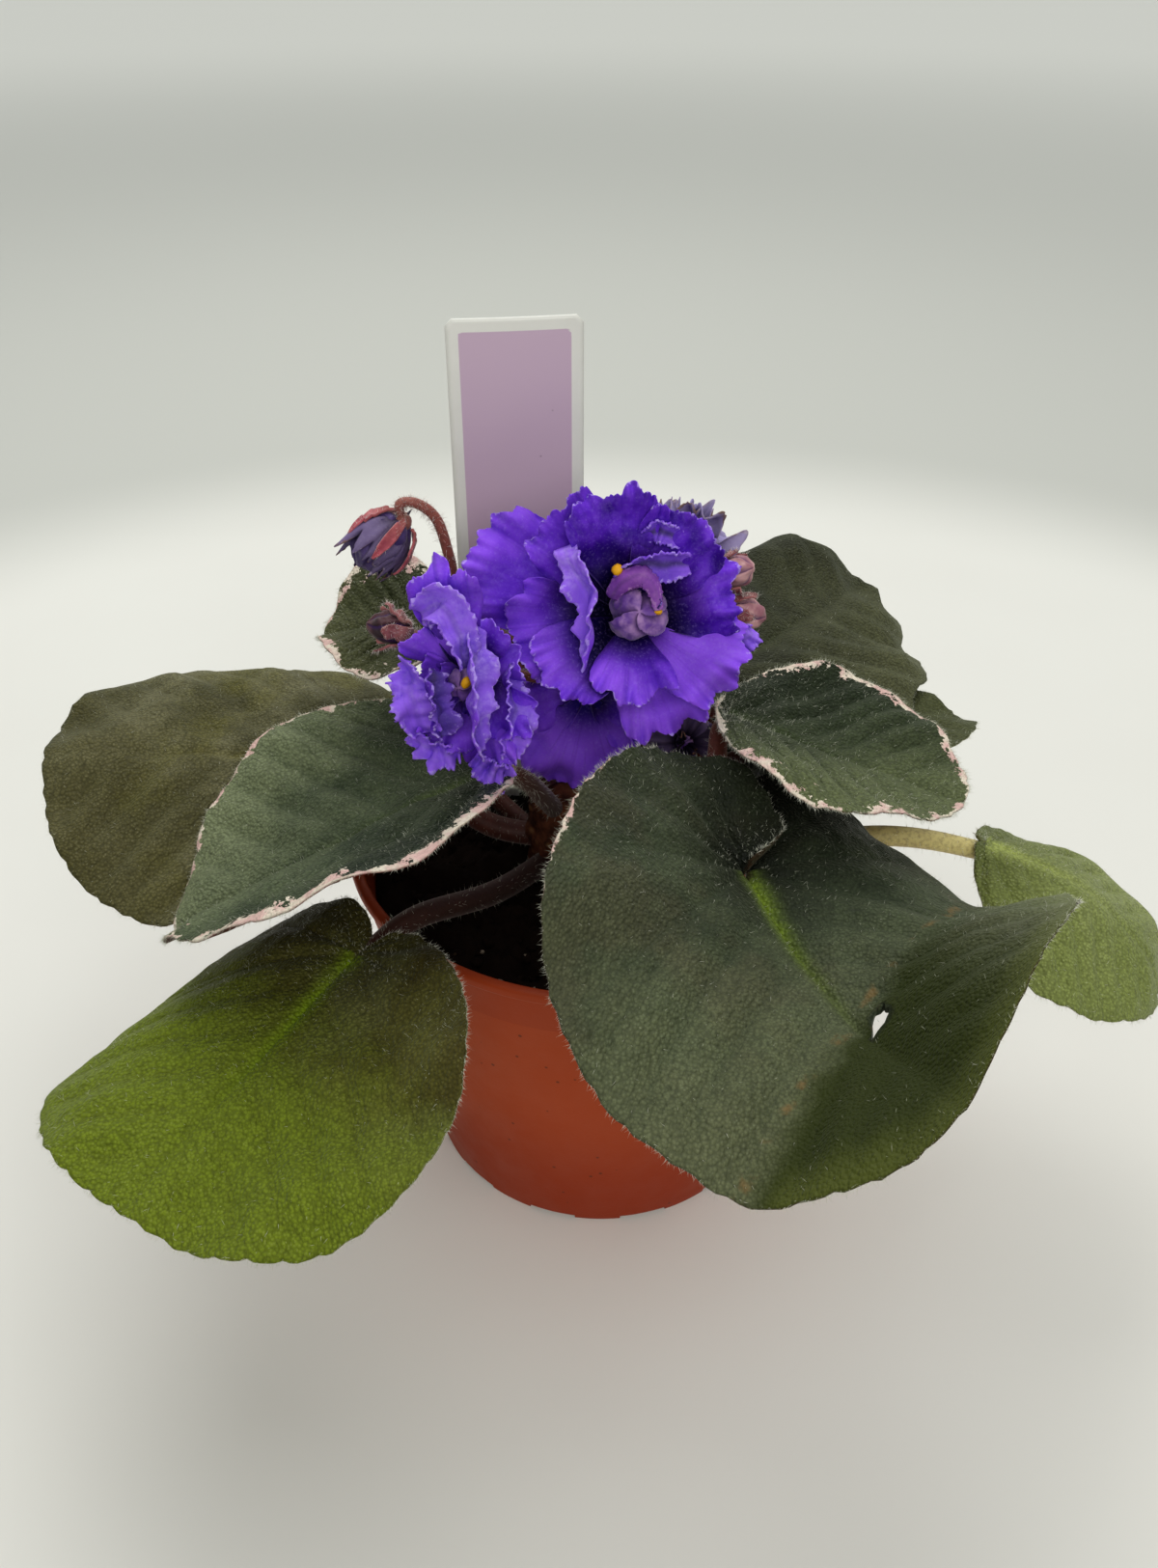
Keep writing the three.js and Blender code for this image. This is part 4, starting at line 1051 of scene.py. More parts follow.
def blade_shell(leaf, rings, spokes):
    """Rings run from the junction to the margin. On top of the bent form lie waves that grow towards
    the margin, domes as the cosine of the vein phase, grooves as a bell curve of the distance to a
    vein, slow noise, and the lift of a lobe that laps over."""
    angle, run = even_angles(leaf, spokes)
    share = (1 - (1 - np.linspace(0, 1, rings)) ** 1.25)[:, None]
    ray = margin_ray(leaf, angle)
    scallop = np.abs(np.sin(math.pi * (run + 0.6 * np.sin(run)) / SCALLOP_LENGTH)) - 0.64
    depth = SCALLOP_DEPTH * np.minimum(leaf["width"] / 60, 1) * np.minimum(ray / 12, 1)
    bays = leaf["bays"] * share**6 * wobble(run[:, None] * [1, 0], BAY_LENGTH, 60)
    bays = bays * np.minimum(ray / 20, 1)
    reach = share * ray + share**14 * depth * scallop + bays
    along, across = reach * np.cos(angle), reach * np.sin(angle)
    phase, to_vein, across_veins, along_veins = vein_pattern(leaf, along, across)
    to_rib = np.where(along > 0, np.abs(across), np.hypot(along, across))
    inside = np.clip((1 - share) * ray / 7, 0, 1) * np.clip(to_rib / 8, 0, 1)
    flat = np.stack([along, across], -1)
    seed = LEAVES.index(leaf)
    ripple = leaf["wave"] * share**3 * np.sin(leaf["waves"] * angle)
    flutter = FLUTTER * share**6 * np.sin(FLUTTER_RATE * leaf["waves"] * angle + seed)
    domes = -DOME * leaf["relief"] * inside * np.cos(2 * math.pi * phase)
    rib_groove = RIB_GROOVE * np.exp(-((to_rib / RIB_GROOVE_WIDTH) ** 2))
    grooves = -GROOVE * (np.exp(-((to_vein / GROOVE_WIDTH) ** 2)) * inside + rib_groove)
    swell = SWELL * wobble(flat, SWELL_LENGTH, seed) * share
    uneven = swell + GRAIN * wobble(flat, GRAIN_LENGTH, seed + 50) * inside
    lap = np.clip((np.abs(angle) - 2.5) / 0.9, 0, 1) * (lobe_ends(leaf, angle) > math.pi)
    lap = LAP_LIFT * lap * lap * (3 - 2 * lap) * (0.35 + 0.65 * share)
    middle = bent_blade(leaf, along, across, ripple + flutter + domes + grooves + uneven + lap)
    thin_to = BLADE_THICKNESS - MARGIN_THICKNESS
    thickness = MARGIN_THICKNESS + thin_to * (1 - share**10) * np.ones_like(angle)
    rib_width = RIB_WIDTH * np.clip(1.0 - along / leaf["length"], 0.25, 1)
    rib = np.exp(-((np.abs(across) / rib_width) ** 2))
    rib = rib * np.clip(1.2 - 1.9 * along / leaf["length"], 0, 1) * (along > 0)
    tone_along, tone_across = leaf["look"]["tone"]
    tone = tone_along * along / leaf["length"] + tone_across * across / leaf["width"] * 2
    tone = tone + leaf["look"]["start"]
    shell = sheet_shell(
        middle, thickness, edge=(1 - share) * ray, rib=rib, flap=past_crease(leaf, along, across),
        bearing=angle / math.pi + 0 * share, vein=np.exp(-((to_vein / 0.8) ** 2)) * inside,
        hollow=np.exp(-((np.hypot(along, across) / HOLLOW_REACH) ** 2)) * (1 - rib),
        side=across, tone=tone, across_veins=across_veins, along_veins=along_veins)
    return shell, middle


PETIOLE_STEPS = 60


def petiole_path(leaf):
    """From the crown along its arch to the junction, and on under the midrib until it sinks in it."""
    along = np.array([0, 0.2, 0.42]) * leaf["length"]
    place, _, up = rib_frames(leaf, along)
    sunk = place - up * np.array([0.95 * leaf["radius"], 0.75 * leaf["radius"], 0.8])[:, None]
    return smooth_path([(*CROWN_AT, leaf["level"]), *leaf["via"], *sunk], PETIOLE_STEPS)


# %% [markdown]
# ## Leaf finishes
# The upper face is velvety: short hairs lie in streaks between the veins and scatter the light, so it
# has next to no gloss and a pale bloom at a flat angle, which sheen gives. Colours run from one shade
# to another across each leaf, with painted shade at the base, in the hollow at the junction and on a
# shaded lobe, and a painted glint on fine pebbles. The midrib is lighter, partly its own paler colour
# and partly painted light through it, and four leaves have a ragged pink and cream margin. The
# underside is wine red on most of the leaves, with pale veins.

# %% Leaf looks
# deep and pale take turns in clouds. dark is painted shade at the base and far the colour at the tip,
# as much as base and tone say; glow is the paler midrib with painted light through it, the stain colour
# lies in patches (a brown stain on front_right, painted sheen on front_left) and under below. fringe is
# the width of the ragged margin, hollow and shade say how much painted shade darkens the junction and
# a lobe, and veins is how dark the veins are.
WINE = (98, 40, 42)
PALE_GREEN = (128, 134, 92)
DARK_OLIVE = (54, 50, 34)
LOOK = dict(base=0.5, fringe=(0, 0), cloud=0.8, start=0, hollow=0.4, shade=0, veins=0.3)
LOOKS = {
    "front_right": dict(
        LOOK, deep=(54, 63, 46), pale=(88, 97, 72), far=(102, 106, 78), glow=(112, 132, 30),
        under=DARK_OLIVE, dark=(24, 28, 17), base=0.85, fringe=(0.36, 0, -0.45, -0.67), cloud=0.95,
        tone=(0.9, -0.05), hollow=1.0, shade=0.93, stain_and_sheen=(84, 79, 60)),
    # front_left's stain colour is painted sheen, pale grey where its hairs catch the light.
    "front_left": dict(
        LOOK, deep=(66, 56, 18), pale=(106, 106, 54), far=(112, 126, 34), glow=(118, 144, 10),
        under=PALE_GREEN, dark=(38, 28, 4), base=0.6, cloud=0.7, tone=(1.5, -0.2), veins=0.1,
        stain_and_sheen=(116, 118, 74)),
    "left_mid": dict(
        LOOK, deep=(50, 62, 44), pale=(92, 102, 76), far=(128, 136, 104), glow=(96, 110, 66),
        under=WINE, dark=(20, 27, 20), base=0.95, fringe=(0.8, 2.4), cloud=0.95,
        tone=(0.8, -0.34), start=-0.2),
    "left_back": dict(
        LOOK, deep=(68, 66, 38), pale=(120, 117, 88), far=(86, 82, 48), glow=(130, 122, 50),
        under=WINE, dark=(60, 58, 28), base=0.3, cloud=1.0, tone=(0.6, 0.2), stain_and_sheen=(104, 100, 42)),
    "back_left_inner": dict(
        LOOK, deep=(62, 68, 44), pale=(88, 92, 62), far=(92, 94, 62), glow=(96, 100, 56),
        under=WINE, dark=(44, 50, 30), fringe=(1.2, 1.2), tone=(0.6, 0.2)),
    "right_mid": dict(
        LOOK, deep=(40, 50, 32), pale=(62, 72, 48), far=(100, 108, 74), glow=(78, 94, 50),
        under=WINE, dark=(24, 32, 20), base=0.8, fringe=(1.7, 1.4), tone=(0.7, -0.5)),
    "back_right": dict(
        LOOK, deep=(38, 40, 24), pale=(66, 68, 44), far=(92, 94, 66), glow=(56, 62, 30),
        under=PALE_GREEN, dark=(26, 30, 16), base=0.7, cloud=1.0, tone=(0.4, -0.6)),
    "right_far": dict(
        LOOK, deep=(64, 68, 40), pale=(80, 84, 52), far=(80, 84, 52), glow=(88, 92, 46),
        under=PALE_GREEN, dark=(50, 54, 30), tone=(0.6, 0.0)),
    "right_low": dict(
        LOOK, deep=(116, 126, 66), pale=(150, 158, 104), far=(128, 138, 78), glow=(162, 172, 96),
        under=PALE_GREEN, dark=(104, 112, 60), base=0.4, cloud=0.7, tone=(0.6, -0.4), veins=0.15),
    "back": dict(
        LOOK, deep=(62, 68, 38), pale=(88, 92, 56), far=(98, 102, 60), glow=(100, 106, 50),
        under=WINE, dark=(44, 48, 26), tone=(0.6, 0.1)),
    "back_left_low": dict(
        LOOK, deep=(62, 68, 38), pale=(88, 92, 56), far=(98, 102, 60), glow=(102, 106, 52),
        under=WINE, dark=(44, 48, 26), tone=(0.6, -0.1)),
}
# FLAP_DARK is the painted shade on the upturned flap of the big leaf.
FLAP_DARK = (42, 50, 2)
FLAP_RIM = (92, 98, 44)
FLAP_TIP = (116, 122, 88)
TEAR_AT = (41, -74.4, 97.3)
TEAR_SIZE = (1.1, 2.7, 3.6)
TEAR_LEAN = 0.3
DRY_EDGE = (116, 96, 62)
CREAM = (214, 204, 188)
BLUSH = (204, 172, 166)
for leaf in LEAVES:
    leaf["look"] = LOOKS[leaf["name"]]
print(sum(any(look["fringe"]) for look in LOOKS.values()), "leaves with a ragged margin")


# %% Leaf finish
def lie_of_hairs(recipe):
    """Coordinates across and along the veins, in mm, with the two halves of the blade set apart."""
    lie = recipe.node("ShaderNodeCombineXYZ")
    recipe.feed(lie.inputs["X"], recipe.attribute("across_veins"))
    recipe.feed(lie.inputs["Y"], recipe.times(recipe.attribute("along_veins"), 0.3))
    recipe.feed(lie.inputs["Z"], recipe.step(recipe.attribute("side"), -0.01, 0.01, 0, 40))
    return lie.outputs["Vector"]


def blade_colour(recipe, look):
    """From deep to pale in clouds, painted shade at the base and far at the tip, painted shade darkest in
    the hollow at the junction and on a shaded lobe, with the paler midrib and painted light through it
    over them."""
    low, high = 0.5 - look["cloud"] / 2, 0.5 + look["cloud"] / 2
    cloud = recipe.patches(17, 3, 0.3, 0.7, low, high)
    recipe.paint(cloud, look["deep"], look["pale"])
    # Patches: a brown stain on front_right, and on front_left painted sheen, pale grey where its hairs catch
    # the light.
    if "stain_and_sheen" in look:
        recipe.cover(recipe.patches(26, 4, 0.5, 0.62, 0, 0.5), look["stain_and_sheen"])
    ragged = recipe.noise(9, 3)
    tone = recipe.plus(recipe.attribute("tone"), recipe.times(ragged, 0.5))
    recipe.cover(recipe.step(tone, 0.3, 1.1), look["far"])
    # Painted shade: dark at the base of the leaf, and to the side where its tone is low.
    recipe.cover(recipe.step(tone, -0.25, 0.45, look["base"], 0), look["dark"])
    # Painted shade, darkest in the hollow at the junction and on a lobe in shadow.
    hollow = recipe.times(recipe.attribute("hollow"), look["hollow"])
    lobe = recipe.step(recipe.attribute("bearing"), 0.42, 0.78, 0, look["shade"])
    recipe.cover(recipe.maths("MAXIMUM", hollow, lobe), scaled(look["dark"], 0.3))
    # The midrib is paler: partly its own colour, partly painted light shining through it.
    glow = recipe.times(recipe.attribute("rib"), recipe.step(ragged, 0.25, 0.6, 0.35, 0.95))
    recipe.cover(glow, look["glow"])


def blade_finish(leaf):
    """The blade's colours under streaks that lie along the veins, fine pebbles with painted shade in the
    gaps and a painted glint on each, and veins; then the flap and the ragged margin where a leaf has
    them, and the lower face."""
    look = leaf["look"]
    recipe = Recipe(leaf["name"] + "_blade", roughness=0.5, specular=0.13)
    recipe.sheen(0.12, (214, 222, 196), 0.45)
    blade_colour(recipe, look)
    streak = recipe.noise(0.8, 3, lie_of_hairs(recipe), 0.6)
    dark = scaled(look["deep"], 0.45)
    recipe.cover(recipe.step(streak, 0.4, 0.7, 0.0, 0.3), dark)
    pebbles = recipe.cells(0.6)
    # Painted shade in the gaps between the pebbles.
    recipe.cover(recipe.step(pebbles, 0.3, 0.7, 0, 0.3), dark)
    # Painted glint: a small highlight on each pebble, in patches.
    patches = recipe.patches(2.5, 3, 0.4, 0.65)
    painted_glint = recipe.times(recipe.step(pebbles, 0.1, 0.35, 0.25, 0), patches)
    recipe.cover(painted_glint, scaled(look["pale"], 0.8, 58))
    vein = recipe.attribute("vein")
    recipe.cover(recipe.times(vein, look["veins"]), look["deep"])
    if leaf["crease"]:
        add_flap(recipe)
    if any(look["fringe"]):
        add_fringe(recipe, *look["fringe"])
    under = recipe.mix(recipe.times(vein, 0.35), look["under"], (150, 124, 98))
    under = recipe.mix(recipe.patches(3, 3, 0.3, 0.7, 0, 0.4), under, (70, 30, 30))
    recipe.cover(recipe.attribute("under"), under)
    pebble = recipe.bump(recipe.minus(1, pebbles), 0.35, 0.9)
    return recipe.done(recipe.bump(streak, 0.35, 0.9, under=pebble))


def add_fringe(recipe, right, left, change=0.0, start=-0.8):
    """Cream and pink run in from the margin: where the distance from it is less than a noise, whose
    height in a few millimetres is given for the right and the left half of the blade. They start and
    change at a bearing, which runs from -1 at the end of the right lobe over 0 at the tip to 1, and
    they grow narrow at the tip."""
    bearing = recipe.attribute("bearing")
    torn = recipe.plus(recipe.noise(2.4, 4, roughness=0.75), recipe.times(recipe.noise(8, 2), 0.7))
    width = recipe.step(bearing, change - 0.04, change + 0.04, right, left)
    width = recipe.times(width, recipe.step(bearing, start - 0.03, start + 0.05))
    width = recipe.times(width, recipe.patches(7, 2, 0.35, 0.55, 0.4, 1.1))
    from_tip = recipe.maths("ABSOLUTE", bearing)
    width = recipe.times(width, recipe.step(from_tip, 0.04, 0.22, 0.3, 1))
    limit = recipe.times(recipe.step(torn, 0.68, 1.2, 0, 4.5), width)
    inside = recipe.minus(limit, recipe.attribute("edge"))
    blush = recipe.mix(recipe.patches(4, 2, 0.42, 0.62), CREAM, BLUSH)
    recipe.cover(recipe.step(inside, 0.0, 0.3), blush)


def add_flap(recipe):
    """The upturned part of the big leaf gets painted shade, less of it and a lighter colour towards its rim
    and tip, and the fold has a dry brown edge.
    """
    beyond = recipe.attribute("flap")
    side = recipe.attribute("side")
    torn = recipe.plus(beyond, recipe.times(recipe.noise(9, 3), 9))
    # Painted shade on the upturned flap, where it turns away from the light; it fades towards the tip.
    painted_flap_shade = recipe.times(recipe.step(torn, 4, 10), recipe.step(side, 8, 34, 0.9, 0.05))
    recipe.cover(painted_flap_shade, FLAP_DARK)
    edge = recipe.step(recipe.attribute("edge"), 0, 9, 0.6, 0)
    recipe.cover(recipe.times(edge, recipe.step(beyond, 3, 8)), FLAP_RIM)
    lighter = recipe.times(recipe.step(beyond, 4, 12), recipe.step(side, 24, 42, 0, 0.7))
    recipe.cover(lighter, FLAP_TIP)
    from_fold = recipe.maths("ABSOLUTE", recipe.minus(beyond, 1))
    near = recipe.minus(1, recipe.step(from_fold, 0.2, 1.4))
    dry = recipe.times(near, recipe.patches(5, 4, 0.5, 0.62))
    recipe.cover(recipe.times(dry, 0.8), DRY_EDGE)


def stalk_finish(name, low, high, tip):
    """Petioles and stalks: a watery skin in three shades from the crown outwards, with dark speckles."""
    recipe = Recipe(name, roughness=0.5, specular=0.3)
    recipe.sheen(0.3, (235, 220, 214))
    blotch = recipe.plus(recipe.attribute("along"), recipe.times(recipe.noise(4, 3), 0.4))
    recipe.paint(recipe.step(blotch, 0.25, 0.8), low, high)
    recipe.cover(recipe.step(blotch, 0.85, 1.2), tip)
    recipe.cover(recipe.patches(0.7, 4, 0.4, 0.7, 0, 0.35), (60, 26, 22))
    return recipe.done(recipe.bump(recipe.noise(0.8, 3), 0.15, 0.6))


def hair_finish(name, colour):
    """Glassy hairs, some of them nearly white."""
    recipe = Recipe(name, roughness=0.45, specular=0.4)
    recipe.paint(recipe.noise(6, 1), colour, (238, 236, 226))
    return recipe.done()


# %% Leaf hairs
FACE_HAIR = (0.6, 1.3)
LONG_HAIR = (0.7, 1.5)
TUBE_HAIR = (0.8, 1.7)


def blade_hairs(leaf, middle, on_top, on_edge):
    """Hairs stand on the upper face, leaning to the tip, and point outwards along the margin."""
    seed = 100 + LEAVES.index(leaf)
    normals = grid_normals(middle)
    root, normal, outward, draw = scattered(middle, normals, on_top, seed, (2, middle.shape[0] - 2))
    lean = unit(normal + 0.45 * outward + 0.5 * draw.normal(size=root.shape))
    root = root + normal * 0.3
    tips = root + lean * draw.uniform(*FACE_HAIR, (on_top, 1))
    last = middle.shape[0] - 2
    rim, normal, outward, draw = scattered(middle, normals, on_edge, seed + 20, (last, last + 1))
    lean = unit(outward + 0.45 * draw.normal(size=rim.shape))
    ends = rim + lean * draw.uniform(*LONG_HAIR, (on_edge, 1))
    return [hair_shell(root, tips), hair_shell(rim, ends)]


def at_steps(table, place):
    """Rows of a table at places between its whole steps, column by column."""
    steps = np.arange(len(table))
    return np.stack([np.interp(place, steps, table[:, k]) for k in range(3)], -1)


def tube_hairs(path, radii, count, seed):
    """Hairs all round a tube, roughly square to it: a random direction, less its part along it."""
    draw = np.random.default_rng(seed)
    place = draw.uniform(0.02, 0.98, count) * (len(path) - 1)
    spot = at_steps(path, place)
    along = unit(at_steps(np.gradient(path, axis=0), place))
    out = draw.normal(size=spot.shape)
    out = unit(out - (out * along).sum(-1, keepdims=True) * along)
    radius = np.interp(place / (len(path) - 1), np.linspace(0, 1, len(radii)), radii)[:, None]
    root = spot + out * radius * 0.9
    lean = unit(out + 0.3 * draw.normal(size=out.shape))
    return hair_shell(root, root + lean * draw.uniform(*TUBE_HAIR, (count, 1)))


# %% Build the leaves
NEAR_LEAVES = ("front_right", "front_left", "left_mid", "right_mid")
# Rings and spokes of a blade, then its hairs on the face and on the margin
NEAR_GRID = (40, 230)
NEAR_HAIRS = (1100, 1700)
FAR_GRID = (28, 160)
FAR_HAIRS = (400, 800)
PETIOLE_TAPER = (1, 1, 0.95, 0.85, 0.55, 0.1)
PETIOLE_HAIRS = 420
BARE_FROM_STEP = 46
BARE_FROM_RADIUS = 4
# Near the crown, farther out and at the blade
PETIOLES = {
    "front_right": ((92, 58, 44), (134, 92, 70), (120, 110, 66)),
    "front_left": ((40, 20, 14), (58, 32, 23), (140, 106, 84)),
    # left_mid's petiole is painted dark, as painted shade where it runs through deep shadow.
    "left_mid": ((48, 26, 20), (72, 42, 32), (84, 54, 42)),
    "right_low": ((164, 142, 94), (194, 182, 124), (190, 190, 122)),
}
DARK_PETIOLE = ((72, 38, 30), (112, 62, 50), (120, 76, 60))
LEAF_HAIR = hair_finish("leaf_hairs", (178, 182, 158))


def tear(piece):
    """An uneven lump cuts a small ragged hole through the blade, beside the crease."""
    points, faces, _ = lump_shell([(0, 0, 0)], [1.0], 4, 0.16, 2)
    points = points * TEAR_SIZE
    points[:, 0] += TEAR_LEAN * points[:, 1]
    mesh = bpy.data.meshes.new("tear")
    mesh.from_pydata(((points + TEAR_AT) * MM).tolist(), [], faces[0].tolist())
    cut_with(piece, bpy.data.objects.new("tear", mesh))
    piece.data.shade_smooth()


def add_leaf(leaf):
    """Blade, petiole and hairs of a leaf. The hairs of the petiole end where the blade covers it."""
    near = leaf["name"] in NEAR_LEAVES
    blade, middle = blade_shell(leaf, *(NEAR_GRID if near else FAR_GRID))
    title = "leaf_" + leaf["name"]
    piece = add_piece(title + ".blade", [blade], blade_finish(leaf), [title])
    if leaf["crease"]:
        tear(piece)
    path = petiole_path(leaf)
    radii = np.array(PETIOLE_TAPER) * leaf["radius"]
    skin = stalk_finish(leaf["name"] + "_petiole", *PETIOLES.get(leaf["name"], DARK_PETIOLE))
    add_piece(title + ".petiole", [tube_shell(path, radii)], skin)
    hairs = blade_hairs(leaf, middle, *(NEAR_HAIRS if near else FAR_HAIRS))
    hairy = path[:BARE_FROM_STEP], radii[:BARE_FROM_RADIUS]
    hairs.append(tube_hairs(*hairy, PETIOLE_HAIRS, 300 + LEAVES.index(leaf)))
    add_piece(title + ".hairs", hairs, LEAF_HAIR, weld=False)


for leaf in LEAVES:
    add_leaf(leaf)

# %% [markdown]
# ## Blooms
# A double bloom has two or three rings of petals, each one a broad fan on a narrow foot, with a
# frilled, toothed edge. Sculpting each petal would take long, so a petal is one formula: rays fan out
# from the throat, rise steeply and bend outwards, and ripple more and more towards the edge.

# %% Bloom sizes
# faces is the compass direction of a bloom and tilt how far it looks up. turn is a petal's direction
# round the throat, anticlockwise from the viewer's right, spread its half angle, reach its length,
# and lift its slope over the face of the bloom at foot and edge. tone is its brightness, painted light
# and shade, lean what that gains to one side, so that the side under a neighbour gets painted shade,
# and well how much farther out the painted shade of its dark foot reaches. foot moves its start off
# the throat. A strip is a narrow curled petal along a path on the face.
OUTER = dict(
    spread=34, lift=(36, 14), ruffle=0.9, ruffles=1.6, tone=0.5, lean=0, well=0, foot=(0, 0, 0))
INNER = dict(OUTER, spread=32, lift=(62, 46), ruffle=0.8, ruffles=2, tone=0.6)
SMALL = dict(OUTER, spread=40, lift=(40, 10), ruffles=2.5)
CRINKLED = dict(SMALL, spread=46, ruffle=1.5, ruffles=3.4)
STRIP = dict(well=0, frost=0.3, rough=1)


def turned(kind, turn, reach, **own):
    """A petal of a kind, turned to its place round the throat, with its reach and what is its own."""
    return dict(kind, turn=turn, reach=reach, **own)


